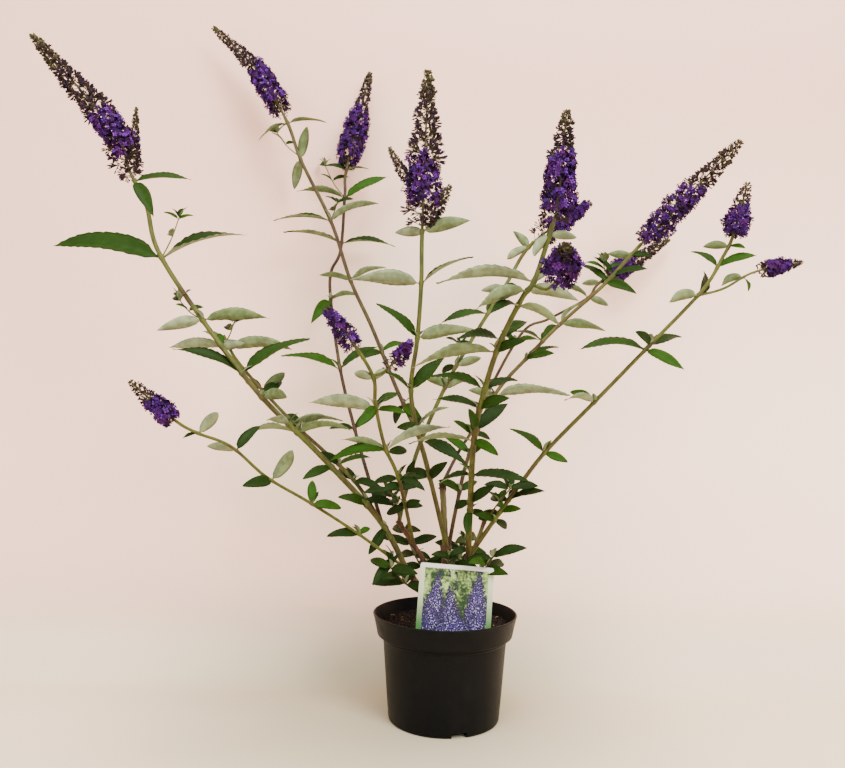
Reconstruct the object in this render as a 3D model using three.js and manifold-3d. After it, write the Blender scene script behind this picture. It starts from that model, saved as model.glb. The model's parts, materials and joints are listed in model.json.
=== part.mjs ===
// A butterfly bush in a round nursery pot: woody crown, twelve arching canes, leafy sprays with
// opposite leaves, and long flower spikes. Millimetres, +Z up. The origin is the centre of the
// pot's flat underside.
import * as THREE from 'three';
import { mergeVertices } from 'three/addons/utils/BufferGeometryUtils.js';
import Module from 'manifold-3d';

const wasm = await Module();
wasm.setup();

// ---------------------------------------------------------------- driving dimensions
const CLEARANCE = 0.3; // between pieces that touch

const POT_RIM_RADIUS = 97;
const POT_HEIGHT = 139;
const POT_BASE_RADIUS = 74.2;
const POT_WALL = 1.6;
const BASE_PLATE = 8.5;
const BAND_HEIGHT = 28; // the flared collar under the rim
const BAND_LOW_RADIUS = 91;
const WALL_TOP_RADIUS = 83.4; // body of the pot just under the collar
const LEDGE = { depth: 0.9, height: 6 }; // stacking ledge under the collar
const FOOT_CHAMFER = { radius: 4, height: 4 }; // rounded foot of the wall
const EDGE = 1.5; // rounding of the rim and the ledge
const POT_SIDES = 40;
const FEET_GAPS = 3; // drainage notches round the foot of the wall
const FEET_GAP = { width: 20, height: 6.8, depth: 17, overrun: 3, first_turn: -76 };
const DRAIN_HOLE = { radius: 4, ring: 62, length: 30, sides: 8 };

const SOIL_EDGE = 122; // height of the compost at the wall
const SOIL_TOP = 126; // height of the compost round the crown
const SOIL_MOUND = [[72, 1], [55, 2], [38, 3]]; // [radius, rise above the edge] towards the crown
const SOIL_SIDES = 20;

const LABEL = {
  width: 95,
  height: 85,
  thick: 0.8,
  corner: 3,
  stake_width: 14,
  stake_length: 38,
  stake_point: 12, // length of the tapered end of the stake
  foot: [8, -65.5, 127],
  lean: -10,
  tilt: -3.6,
};

const CROWN = { radius: 9.5, flare: 15, flare_height: 14, top: [0, 0, 162], top_radius: 7.5, sides: 9 };
const STUB_SIDES = 7;
// Woody stubs of earlier years: where each leaves the crown, where it ends, and its radii.
const STUBS = [
  { route: [[-3, -1, 132], [-30, -4, 166], [-53, -6, 195]], radii: [4.8, 4.3] },
  { route: [[-2, -1, 148], [-30, -6, 207], [-48, -13, 235], [-65, -20, 262]], radii: [4, 3] },
  { route: [[0, 0, 150], [1, 4, 190], [0, 5, 226]], radii: [7, 6] },
  { route: [[0, 6, 214], [-3, 7, 262], [-6, 8, 311]], radii: [4.4, 4] },
  { route: [[3, -1, 148], [18, -6, 186], [31, -11, 216]], radii: [4.8, 4.2] },
  { route: [[31, -11, 212], [42, -16, 240], [50, -21, 264]], radii: [2.8, 2.4] },
];

// Canes from the foot up. Routes run through the flower spike to its tip. `bare` is where the
// leafy spray begins, `spike` is the flower's length and widest radius. Leaf pairs are
// [distance up the cane, leaf, leaf], and a leaf is [turn, length, lift, roll], in millimetres and
// degrees: turn from +X towards +Y, roll that turns its upper face to the front. The small leaves
// below `bare` are left out. Shoots are [distance up the cane, turn, length, lift]. A companion is a
// small spike that leaves the flower `at` above its foot and ends at `to` from there. A side branch
// leaves the cane at the distance `from`.
const CANES = {
  arch_left: {
    route: [[-50, -5, 190], [-90, -14, 261], [-168, -32, 346], [-251, -52, 429], [-326, -70, 527],
      [-379, -79, 608], [-394, -86, 666], [-414, -92, 706], [-437, -97, 761], [-536, -110, 872]],
    radii: [3.8, 1.9], bare: 235, spike: [220, 22], whorls: 12,
    companions: [{ at: 6, to: [-2, 12, 92], radius: 9 }],
    leaves: [[70, [-130, 45, -45, 60]], [110, [-150, 45, 15, 60], [45, 45, 20, 35]],
      [180, [-145, 45, -20, 50]], [245, [160, 80, 0, -15], [-20, 80, 5, -25]],
      [260, [-110, 55, 5, -30], [25, 75, 5, -20]], [310, [-45, 60, 0, -60], [70, 55, 25, 30]],
      [350, [-165, 92, 18, 35], [15, 100, 30, 35]], [395, [165, 78, -2, -40], [60, 45, 10, -90]],
      [435, [-140, 62, -18, -65], [10, 85, 4, -40]], [530, [-176, 138, 6, 60], [5, 112, 20, 30]],
      [636, [-20, 60, -57, 55], [20, 70, 8, 40]]],
    shoots: [[435, 165, 45, 30], [530, 50, 60, 65]],
  },
  short_left: {
    route: [[-90, -12, 261], [-131, -4, 318], [-213, -12, 393], [-284, -20, 469], [-306, -24, 507]],
    radii: [2.5, 1.7], bare: 150, spike: null,
    leaves: [[65, [-30, 50, -15, 35], [130, 40, 20, 35]], [95, [30, 50, 10, 20], [-140, 35, 30, 80]],
      [165, [-35, 50, 25, -30], [135, 40, 35, 30]], [240, [-30, 45, 30, -60], [140, 40, 20, 45]],
      [312, [-10, 90, 0, -40], [150, 60, 25, -40]]],
    shoots: [[322, 60, 30, 60]],
  },
  low_left: {
    route: [[-52, -9, 196], [-117, -60, 251], [-172, -110, 294], [-216, -150, 326], [-250, -185, 362],
      [-281, -210, 377], [-302, -225, 391], [-340, -250, 429]],
    radii: [1.7, 1.3], bare: 232, spike: [62, 13], whorls: 4,
    leaves: [[30, [-120, 20, 35, 115], [-135, 46, -42, 35]], [95, [-150, 45, 0, 45], [45, 20, 20, 40]],
      [180, [100, 32, 60, 0], [30, 40, -10, 60]], [245, [-125, 45, -5, 65], [-40, 52, 45, -60]],
      [305, [-150, 34, 8, -55], [50, 42, 42, 30]], [355, [-30, 38, 38, -60], [-150, 18, -20, 30]]],
    shoots: [],
  },
  upright_back: {
    route: [[-88, -8, 258], [-108, 20, 313], [-133, 60, 382], [-159, 82, 472], [-178, 100, 579],
      [-179, 105, 623], [-166, 112, 660], [-163, 124, 749], [-161, 130, 798], [-130, 150, 957]],
    radii: [2.3, 1.9], bare: 228, spike: [168, 23], whorls: 9,
    leaves: [[150, [-150, 40, 0, 40], [45, 45, 35, 40]], [245, [-160, 90, 10, 35], [25, 75, 30, 30]],
      [355, [-125, 60, -45, 50], [40, 50, 15, -30]], [450, [-165, 90, 5, 15], [15, 85, 0, 30]],
      [525, [-160, 75, 0, -10], [15, 80, 30, 50]], [572, [-165, 34, 5, 50], [10, 36, 5, 20]]],
    shoots: [[525, 150, 70, 50]],
  },
  lean_left: {
    route: [[1, 7, 226], [-20, 25, 306], [-38, 40, 368], [-74, 55, 444], [-112, 70, 533],
      [-147, 80, 606], [-179, 90, 696], [-229, 100, 794], [-255, 105, 860], [-308, 116, 947],
      [-379, 130, 1017]],
    radii: [2.7, 2.1], bare: 282, spike: [198, 21], whorls: 12,
    leaves: [[210, [-50, 55, -30, 65], [115, 40, -45, 120]], [295, [35, 45, 20, 30], [-140, 40, -20, 45]],
      [415, [-145, 55, 0, -20], [30, 65, 25, -30]], [515, [-170, 85, -5, 20], [10, 80, 25, -20]],
      [625, [115, 50, -50, -10], [-60, 50, 60, -20]], [688, [-170, 55, -35, 10], [10, 60, 5, 10]]],
    shoots: [[630, 170, 55, 40], [515, 60, 35, 60]],
  },
  centre: {
    route: [[0, 0, 228], [-21, -25, 310], [-45, -45, 397], [-51, -55, 443], [-44, -65, 500],
      [-40, -75, 573], [-40, -80, 642], [-36, -95, 840]],
    radii: [2.9, 2], bare: 158, spike: [198, 27], whorls: 12,
    companions: [{ at: 45, to: [-45, 8, 62], radius: 10 }, { at: 4, to: [34, -12, 48], radius: 12 }],
    leaves: [[100, [-55, 45, 30, 105], [145, 35, 15, 40]], [170, [-125, 45, 0, 70], [35, 60, 30, -30]],
      [220, [-150, 55, 25, 35], [25, 70, 45, 45]], [290, [-160, 70, 35, 55], [20, 85, 10, -50]],
      [360, [170, 95, 5, -45], [-15, 75, 25, 20]], [427, [145, 45, 5, -60], [-15, 65, 10, -60]]],
    shoots: [],
  },
  slender_right: {
    route: [[-64, -19, 262], [-56, -8, 300], [-38, 5, 365], [-2, 15, 449], [30, 25, 508],
      [80, 35, 592], [120, 40, 657], [198, 20, 711]],
    radii: [2.1, 1.7], bare: 182, spike: [95, 21], whorls: 6,
    leaves: [[55, [-70, 40, 50, 125], [35, 35, 10, 35]], [115, [-25, 80, -25, 35], [140, 45, 25, 30]],
      [195, [35, 45, 20, -70], [-145, 40, 20, -45]], [230, [-30, 40, 15, -60], [135, 30, -15, 85]],
      [320, [-165, 75, -15, 35], [40, 40, 35, 40]], [365, [140, 40, 0, -65], [-45, 25, -5, 65]],
      [436, [-150, 45, -30, -65], [135, 40, 45, -90]]],
    shoots: [[230, 70, 35, 55]],
  },
  tall_right: {
    route: [[30, -11, 216], [29, -40, 271], [28, -120, 377], [39, -155, 441], [53, -180, 489],
      [73, -205, 533], [86, -212, 553], [102, -220, 607], [108, -225, 633], [115, -235, 731]],
    radii: [3.5, 2.2], bare: 178, spike: [120, 21], whorls: 8,
    leaves: [[74, [-105, 34, -55, 5], [45, 30, -15, 85]], [90, [-40, 45, 30, 80], [135, 30, -20, 90]],
      [135, [-15, 75, -5, 35], [145, 50, -15, 30]], [190, [175, 80, -5, -10], [-40, 40, -25, 50]],
      [205, [30, 60, 35, 50], [-110, 40, 40, 130]], [235, [160, 60, 10, 30], [-40, 45, 15, 75]],
      [260, [-160, 70, 10, 40], [30, 50, 15, 30]], [310, [175, 100, -10, -25], [-40, 40, 15, 75]],
      [325, [-145, 65, -5, 40], [40, 50, 30, 35]], [370, [-130, 55, -15, 25], [15, 55, -20, -25]],
      [390, [-145, 80, -20, -50], [20, 65, -5, -45]], [402, [-170, 110, -5, -15], [35, 60, 25, -50]],
      [455, [-135, 40, -45, -90], [-20, 30, -10, -50]]],
    shoots: [],
    side: {
      from: 398, route: [[96, -222, 540], [101, -238, 542], [106, -253, 550], [104, -298, 568]],
      spike: [50, 22], whorls: 4,
    },
  },
  arch_right: {
    route: [[4, 8, 226], [15, 15, 284], [31, 25, 350], [66, 30, 434], [114, 35, 491],
      [164, 35, 543], [221, 30, 596], [271, 20, 653], [401, -5, 793]],
    radii: [2.3, 2.1], bare: 205, spike: [192, 21], whorls: 12,
    leaves: [[75, [-145, 40, 25, 70], [35, 35, 25, 40]], [130, [-45, 35, 30, 90], [150, 45, 30, 40]],
      [220, [-10, 105, 0, -30], [145, 45, 10, -65]], [290, [-45, 50, 5, 60], [25, 60, 20, 25]],
      [325, [-145, 55, 10, 30], [50, 50, 35, 30]], [360, [-20, 65, -10, -40], [35, 55, 40, -50]],
      [450, [-50, 55, -25, 55], [135, 50, 35, 30]], [462, [-30, 50, 5, 50], [140, 45, 45, 20]],
      [500, [145, 35, 10, -65], [-30, 30, -10, 50]]],
    shoots: [[455, 120, 30, 60]],
  },
  back_right: {
    route: [[-6, 8, 311], [18, 40, 355], [42, 65, 392], [67, 90, 451], [116, 105, 536],
      [157, 115, 558], [218, 125, 593], [244, 130, 623], [354, 155, 695]],
    radii: [1.9, 1.5], bare: 238, spike: [128, 17], whorls: 8,
    leaves: [[95, [25, 35, -15, 55], [-150, 35, 30, 65]], [255, [30, 50, 10, 30], [-140, 35, 30, 80]],
      [400, [155, 50, 25, -30], [-30, 35, -25, -65]], [432, [150, 30, 0, -55], [-40, 30, 10, 75]]],
    shoots: [],
  },
  low_right: {
    route: [[30, -12, 214], [53, -25, 252], [96, -55, 321], [126, -70, 363], [182, -95, 426],
      [241, -115, 492], [301, -130, 559], [323, -137, 598], [335, -140, 625], [348, -150, 684]],
    radii: [2.5, 1.4], bare: 258, spike: [62, 17], whorls: 4,
    leaves: [[65, [-145, 35, 15, 70], [45, 30, -25, 90]], [80, [135, 40, -20, 90], [-30, 30, 10, 60]],
      [100, [-20, 50, 15, 35], [135, 30, 0, 70]], [180, [-165, 57, 32, 50], [-20, 32, -20, 65]],
      [270, [-135, 65, 0, -20], [130, 40, 20, 50]], [360, [-170, 85, 0, 35], [-35, 55, -30, 50]],
      [366, [-130, 40, 20, 95], [30, 60, 15, 35]], [450, [-145, 60, -15, -55], [60, 50, 45, 65]],
      [490, [140, 40, 35, 30], [-20, 45, 15, 55]], [518, [150, 30, 5, -55], [-35, 20, -15, 45]]],
    shoots: [],
    side: {
      from: 449, route: [[333, -118, 565], [381, -95, 591], [452, -70, 610]], spike: [72, 12], whorls: 5,
      leaves: [[78, [-150, 45, -20, -55], [-90, 25, -55, -40]]],
    },
  },
  front_left: {
    route: [[-45, -15, 234], [-56, -50, 288], [-67, -85, 331], [-81, -110, 364], [-91, -145, 412],
      [-93, -165, 444], [-114, -185, 479], [-144, -215, 516]],
    radii: [2.2, 1.6], bare: 145, spike: [60, 14], whorls: 4,
    leaves: [[60, [-45, 30, 20, 90], [140, 35, -20, 75]], [100, [-140, 30, -15, 50], [40, 30, 30, 30]],
      [110, [155, 35, -10, 55], [-25, 40, -20, 30]], [155, [-160, 60, 15, -30], [45, 35, 5, 65]],
      [160, [-165, 70, -10, 40], [10, 85, 20, -35]], [220, [-170, 80, 5, -50], [30, 40, -5, 45]],
      [226, [-130, 40, -40, 55], [35, 40, 25, 30]], [262, [-135, 30, 10, -60], [40, 25, 30, -80]]],
    shoots: [],
    side: { from: 266, route: [[-78, -175, 452], [-49, -225, 479]], spike: [58, 12], whorls: 4 },
  },
};

// Short leafy shoots round the crown: foot, tip, leaf pairs on each, leaf length and turn.
const BASAL = {
  basal_left: { route: [[-22, -4, 158], [-52, -28, 180], [-74, -46, 206]], pairs: 3, leaf: 42, turn: 150 },
  basal_left_high: {
    route: [[-62, -20, 257], [-68, -38, 284], [-78, -48, 306]], pairs: 3, leaf: 36, turn: 10,
  },
  basal_front: { route: [[1, 1, 166], [2, -10, 192], [3, -17, 218]], pairs: 3, leaf: 26, turn: 10 },
  basal_right: { route: [[20, -7, 188], [46, -36, 200], [60, -48, 222]], pairs: 3, leaf: 40, turn: -30 },
  basal_right_high: {
    route: [[49, -20, 259], [62, -48, 286], [80, -62, 312]], pairs: 2, leaf: 33, turn: 0,
  },
  basal_back: { route: [[2, 3, 160], [18, 42, 192], [30, 62, 228]], pairs: 4, leaf: 44, turn: 60 },
  basal_back_left: {
    route: [[-3, 3, 156], [-38, 36, 200], [-58, 52, 238]], pairs: 4, leaf: 42, turn: 120,
  },
};

const LEAF_WIDTH = { base: 5, growth: 0.2 }; // at no length, and for each millimetre of length
const LEAF_THICKNESS = 0.016; // of its length, at the midrib
const LEAF_SKIN = 0.2; // least half thickness
const LEAF_ARCH = 0.075; // rise of the blade above the line from root to tip
const LEAF_FOLD = 0.45; // how far the blade's halves rise from the midrib
const LONG_LEAF = 58; // from here on a leaf has two stations along its midrib
// [share of the leaf's length, half breadth there as a share of its width]
const LEAF_STATIONS = { short: [[0.48, 0.5]], long: [[0.32, 0.48], [0.66, 0.4]] };
const PETIOLE_HEIGHT = 1; // of the leaf's root
const STEM_STEP = 22; // between two rings of a cane
const CANE_SIDES = 6;
const SPRAY_SIDES = 5;
const TWIG_SIDES = 4;
const SHOOT = {
  radii: [1, 0.7], leaf: 26, lift: 20, roll: 40, pairs: [0.55, 0.96], turn: 60, least: 0.75, range: 0.5,
};
const SHOOT_BEND = { at: 0.5, beyond: 0.4, rise: 0.15 }; // shares of the shoot's length
const BASAL_RADII = [1.6, 1];
const BASAL_ROLL = 50;
const BASAL_PAIRS = { top: 0.97, taken: 0.62 }; // shares of the shoot's length
const BASAL_LEAF = { least: 0.85, range: 0.4, lift: 20, droop: 30, sway: 30 };

const material = (color, roughness) => new THREE.MeshStandardMaterial({ color, roughness, metalness: 0 });
const FINISHES = {
  plastic: material(0x28241f, 0.5),
  compost: material(0x2b211b, 0.95),
  card: material(0xe4e4ea, 0.45),
  wood: material(0x6d4a2c, 0.8),
  cane: material(0x8a9150, 0.6),
  brown_cane: material(0x74523a, 0.65),
  leaf: material(0x4a6f2a, 0.6),
  flower: material(0x4a2f8c, 0.7),
};
const BROWN_CANES = ['upright_back', 'lean_left', 'back_right'];

// ---------------------------------------------------------------- helpers
const vector = (p) => new THREE.Vector3(...p);
const radians = THREE.MathUtils.degToRad;

// A repeatable number from 0 to 1 for each pair of indices.
function chance(a, b) {
  const wave = Math.sin(a * 12.9898 + b * 78.233) * 43758.5453;
  return wave - Math.floor(wave);
}

function geometryFrom(corners, faces) {
  const geometry = new THREE.BufferGeometry();
  geometry.setAttribute('position', new THREE.Float32BufferAttribute(corners.flat(), 3));
  geometry.setIndex(faces.flat());
  return geometry;
}

function solidFrom(source) {
  const geometry = source.clone();
  geometry.deleteAttribute('normal');
  geometry.deleteAttribute('uv');
  const merged = mergeVertices(geometry, 1e-3);
  return new wasm.Manifold(new wasm.Mesh({
    numProp: 3,
    vertProperties: Float32Array.from(merged.attributes.position.array),
    triVerts: Uint32Array.from(merged.index.array),
  }));
}

function meshFrom(name, solid, finish) {
  const result = solid.getMesh();
  const geometry = new THREE.BufferGeometry();
  geometry.setAttribute('position', new THREE.BufferAttribute(Float32Array.from(result.vertProperties), 3));
  geometry.setIndex(new THREE.BufferAttribute(Uint32Array.from(result.triVerts), 1));
  const mesh = new THREE.Mesh(geometry, finish);
  mesh.name = name;
  return mesh;
}

const union = (solids) => solids.reduce((whole, piece) => whole.add(piece));

// The biggest body that a cut leaves.
function mainBody(solid) {
  const bodies = solid.decompose();
  return bodies.reduce((best, body) => (body.volume() > best.volume() ? body : best));
}

const boxesMeet = (a, b) => {
  const [one, two] = [a.boundingBox(), b.boundingBox()];
  return [0, 1, 2].every((axis) => one.min[axis] < two.max[axis] && two.min[axis] < one.max[axis]);
};

const overlaps = (solid, others) => others.some(
  (other) => boxesMeet(solid, other) && solid.intersect(other).volume() > 1e-6,
);

const smooth = (route) => new THREE.CatmullRomCurve3(route.map(vector), false, 'catmullrom', 0.5);

// Rings of a tube along part of a curve, from one distance to another, without twist.
function ringsAlong(curve, from, to, steps) {
  const length = curve.getLength();
  let normal = new THREE.Vector3(0.3, 1, 0.2);
  const rings = [];
  for (let step = 0; step <= steps; step += 1) {
    const share = THREE.MathUtils.lerp(from, to, step / steps) / length;
    const tangent = curve.getTangentAt(share);
    normal = normal.clone().addScaledVector(tangent, -normal.dot(tangent)).normalize();
    const side = new THREE.Vector3().crossVectors(tangent, normal);
    rings.push({ centre: curve.getPointAt(share), tangent, normal, side });
  }
  return rings;
}

// A closed body through rings; radiusAt(ring, corner) gives each corner's distance from the axis.
function loft(rings, sides, radiusAt, twistAt = () => 0) {
  const corners = [];
  const faces = [];
  rings.forEach((ring, level) => {
    for (let corner = 0; corner < sides; corner += 1) {
      const angle = (2 * Math.PI * (corner + twistAt(level))) / sides;
      const radius = radiusAt(level, corner);
      const point = ring.centre.clone().addScaledVector(ring.normal, radius * Math.cos(angle))
        .addScaledVector(ring.side, radius * Math.sin(angle));
      corners.push(point.toArray());
      if (level > 0) {
        const [here, next] = [level * sides + corner, level * sides + ((corner + 1) % sides)];
        faces.push([here - sides, next - sides, next], [here - sides, next, here]);
      }
    }
  });
  const last = (rings.length - 1) * sides;
  for (let corner = 1; corner < sides - 1; corner += 1) {
    faces.push([0, corner + 1, corner], [last, last + corner, last + corner + 1]);
  }
  return geometryFrom(corners, faces);
}

// A tapering limb; `grow` thickens it all round, to cut its neighbours clear of it.
function limb(curve, from, to, radii, sides, steps, grow = 0) {
  const length = curve.getLength();
  const radiusAt = (level) => {
    const share = THREE.MathUtils.lerp(from, to, level / steps) / length;
    return THREE.MathUtils.lerp(radii[0], radii[1], share) + grow;
  };
  return solidFrom(loft(ringsAlong(curve, from, to, steps), sides, radiusAt));
}

// ---------------------------------------------------------------- leaves and shoots
// A folded, arched blade from a root inside the stem to its tip, thickest at the midrib.
function leafSolid(root, [turn, length, lift, roll]) {
  const heading = new THREE.Vector3(Math.cos(radians(turn)), Math.sin(radians(turn)), 0);
  const along = heading.clone().multiplyScalar(Math.cos(radians(lift)));
  along.z = Math.sin(radians(lift));
  const tilt = radians(roll) * (heading.x < 0 ? -1 : 1);
  const across = new THREE.Vector3(-heading.y, heading.x, 0).applyAxisAngle(along, tilt);
  const above = new THREE.Vector3().crossVectors(along, across);
  const place = (share, sideways, up) => root.clone()
    .addScaledVector(along, share * length)
    .addScaledVector(across, sideways)
    .addScaledVector(above, LEAF_ARCH * length * 4 * share * (1 - share) + up)
    .toArray();
  const half = (LEAF_THICKNESS * length) / 2 + LEAF_SKIN;
  const width = LEAF_WIDTH.base + LEAF_WIDTH.growth * length;
  const stations = LEAF_STATIONS[length < LONG_LEAF ? 'short' : 'long'];
  const corners = [place(0, 0, PETIOLE_HEIGHT / 2), place(0, 0, -PETIOLE_HEIGHT / 2)];
  stations.forEach(([share, breadth]) => {
    const reach = breadth * width;
    corners.push(place(share, reach, LEAF_FOLD * reach), place(share, 0, half));
    corners.push(place(share, -reach, LEAF_FOLD * reach), place(share, 0, -half));
  });
  corners.push(place(1, 0, 0));
  const faces = [[0, 3, 2], [0, 4, 3], [1, 2, 5], [1, 5, 4], [0, 2, 1], [0, 1, 4]];
  for (let first = 2; first + 7 < corners.length; first += 4) {
    for (let corner = 0; corner < 4; corner += 1) {
      const [here, next] = [first + corner, first + ((corner + 1) % 4)];
      faces.push([here, next, next + 4], [here, next + 4, here + 4]);
    }
  }
  const tip = corners.length - 1;
  for (let corner = 0; corner < 4; corner += 1) {
    faces.push([tip - 4 + corner, tip - 4 + ((corner + 1) % 4), tip]);
  }
  return solidFrom(geometryFrom(corners, faces));
}

// Adds each leaf to the spray's pieces unless it would touch a limb or another mass.
function addLeaf(pieces, obstacles, root, leaf) {
  const blade = leafSolid(root, leaf);
  if (!overlaps(blade, obstacles)) {
    pieces.push(blade);
  }
}

// A short side shoot that bends upwards, with two leaf pairs.
function addShoot(pieces, obstacles, seed, root, turn, length, lift) {
  const rise = Math.tan(radians(lift));
  const heading = vector([Math.cos(radians(turn)), Math.sin(radians(turn)), rise]).normalize();
  const bend = root.clone().addScaledVector(heading, length * SHOOT_BEND.at);
  const tip = bend.clone().addScaledVector(heading, length * SHOOT_BEND.beyond)
    .add(vector([0, 0, length * SHOOT_BEND.rise]));
  const curve = smooth([root.toArray(), bend.toArray(), tip.toArray()]);
  const twig = limb(curve, 0, curve.getLength(), SHOOT.radii, 3, 2);
  if (overlaps(twig, obstacles)) {
    return;
  }
  pieces.push(twig);
  SHOOT.pairs.forEach((share, pair) => {
    [0, 180].forEach((half) => {
      const leafTurn = turn + SHOOT.turn + 90 * pair + half;
      const size = SHOOT.leaf * (SHOOT.least + SHOOT.range * chance(seed + pair, half));
      addLeaf(pieces, obstacles, curve.getPointAt(share), [leafTurn, size, SHOOT.lift, SHOOT.roll]);
    });
  });
}

// The leafy length of a cane: its own stem, the leaf pairs, side shoots and any side branch.
function spraySolid(cane, curve, seed, obstacles) {
  const end = curve.getLength() - (cane.spike ? cane.spike[0] : 0);
  const steps = Math.max(4, Math.round((end - cane.bare) / STEM_STEP));
  const pieces = [limb(curve, cane.bare + CLEARANCE, end, cane.radii, SPRAY_SIDES, steps)];
  const pointAt = (distance) => curve.getPointAt(Math.min(distance, end - 2) / curve.getLength());
  cane.leaves.filter(([at]) => at > cane.bare).forEach(([at, ...pair]) => {
    pair.forEach((leaf) => addLeaf(pieces, obstacles, pointAt(at), leaf));
  });
  cane.shoots.forEach(([at, turn, length, lift], index) => {
    addShoot(pieces, obstacles, seed + index, pointAt(at), turn, length, lift);
  });
  if (cane.side) {
    const branch = sideCurve(cane, curve);
    const branchEnd = branch.getLength() - cane.side.spike[0];
    const radii = [cane.radii[1] * 0.8, cane.radii[1] * 0.65];
    pieces.push(limb(branch, 0, branchEnd, radii, TWIG_SIDES, 4));
    (cane.side.leaves ?? []).forEach(([at, ...pair]) => {
      const root = branch.getPointAt(at / branch.getLength());
      pair.forEach((leaf) => addLeaf(pieces, obstacles, root, leaf));
    });
  }
  return mainBody(union(pieces));
}

const sideCurve = (cane, curve) => smooth([
  curve.getPointAt(cane.side.from / curve.getLength()).toArray(), ...cane.side.route,
]);

function basalSolid(shoot, seed, obstacles) {
  const curve = smooth(shoot.route);
  const pieces = [limb(curve, 0, curve.getLength(), BASAL_RADII, TWIG_SIDES, 4)];
  for (let pair = 0; pair < shoot.pairs; pair += 1) {
    const share = BASAL_PAIRS.top - (BASAL_PAIRS.taken * pair) / shoot.pairs;
    [0, 180].forEach((half) => {
      const turn = shoot.turn + 90 * (pair % 2) + half + BASAL_LEAF.sway * (chance(seed, pair) - 0.5);
      const length = shoot.leaf * (BASAL_LEAF.least + BASAL_LEAF.range * chance(seed + pair, half));
      const lift = BASAL_LEAF.lift - BASAL_LEAF.droop * chance(pair, seed + half);
      addLeaf(pieces, obstacles, curve.getPointAt(share), [turn, length, lift, BASAL_ROLL]);
    });
  }
  return mainBody(union(pieces));
}

// ---------------------------------------------------------------- flower spikes
const SPIKE_SIDES = 7;
const SPIKE_WAIST = 0.6; // radius between two whorls, as a share of the whorls'
const STALK_RADIUS = 2.2; // of the spike's foot
const SPIKE_UNEVEN = { least: 0.86, range: 0.3 };
const COMPANION = { whorls: 4, bend: 0.12 }; // bend as a share of its sideways reach
// [share of the spike's length, share of its widest radius]
const SPIKE_OUTLINE = [
  [0, 0.5], [0.08, 0.88], [0.22, 1], [0.45, 0.85], [0.7, 0.55], [0.9, 0.34], [1, 0.18],
];

function outlineAt(share) {
  const next = Math.max(1, SPIKE_OUTLINE.findIndex(([at]) => at >= share));
  const [[fromAt, from], [toAt, to]] = [SPIKE_OUTLINE[next - 1], SPIKE_OUTLINE[next]];
  return THREE.MathUtils.lerp(from, to, (share - fromAt) / (toAt - fromAt));
}

// Whorls of blossom round a stalk: wide and narrow rings by turns, each a little uneven.
function spikeSolid(curve, from, to, radius, whorls, seed) {
  const steps = 2 * whorls;
  const radiusAt = (level, corner) => {
    if (level === 0) {
      return Math.min(STALK_RADIUS, radius * 0.3);
    }
    const full = radius * outlineAt(level / steps);
    const uneven = SPIKE_UNEVEN.least + SPIKE_UNEVEN.range * chance(seed + level, corner);
    return full * uneven * (level % 2 ? 1 : SPIKE_WAIST);
  };
  const twistAt = (level) => (Math.floor(level / 2) % 2) / 2;
  return solidFrom(loft(ringsAlong(curve, from, to, steps), SPIKE_SIDES, radiusAt, twistAt));
}

function flowerSolid(curve, spike, whorls, seed, companions = []) {
  const length = curve.getLength();
  const from = length - spike[0] + CLEARANCE;
  const pieces = [spikeSolid(curve, from, length, spike[1], whorls, seed)];
  companions.forEach(({ at, to, radius }, index) => {
    const root = curve.getPointAt((from + at) / length);
    const tip = root.clone().add(vector(to));
    const outward = vector([to[0], to[1], 0]).multiplyScalar(COMPANION.bend);
    const bend = root.clone().lerp(tip, 0.5).add(outward);
    const side = smooth([root.toArray(), bend.toArray(), tip.toArray()]);
    pieces.push(spikeSolid(side, 0, side.getLength(), radius, COMPANION.whorls, seed + 50 + index));
  });
  return union(pieces);
}

// ---------------------------------------------------------------- pot, compost and label
function lathe(profile, sides) {
  return solidFrom(new THREE.LatheGeometry(profile.map(([r, z]) => new THREE.Vector2(r, z)), sides)
    .rotateX(Math.PI / 2));
}

const bandFoot = POT_HEIGHT - BAND_HEIGHT;
const ledgeFoot = bandFoot - LEDGE.height;
const wallRadiusAt = (height) => THREE.MathUtils.lerp(POT_BASE_RADIUS, WALL_TOP_RADIUS, height / bandFoot);
const insideRadiusAt = (height) => wallRadiusAt(height) - POT_WALL;

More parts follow.
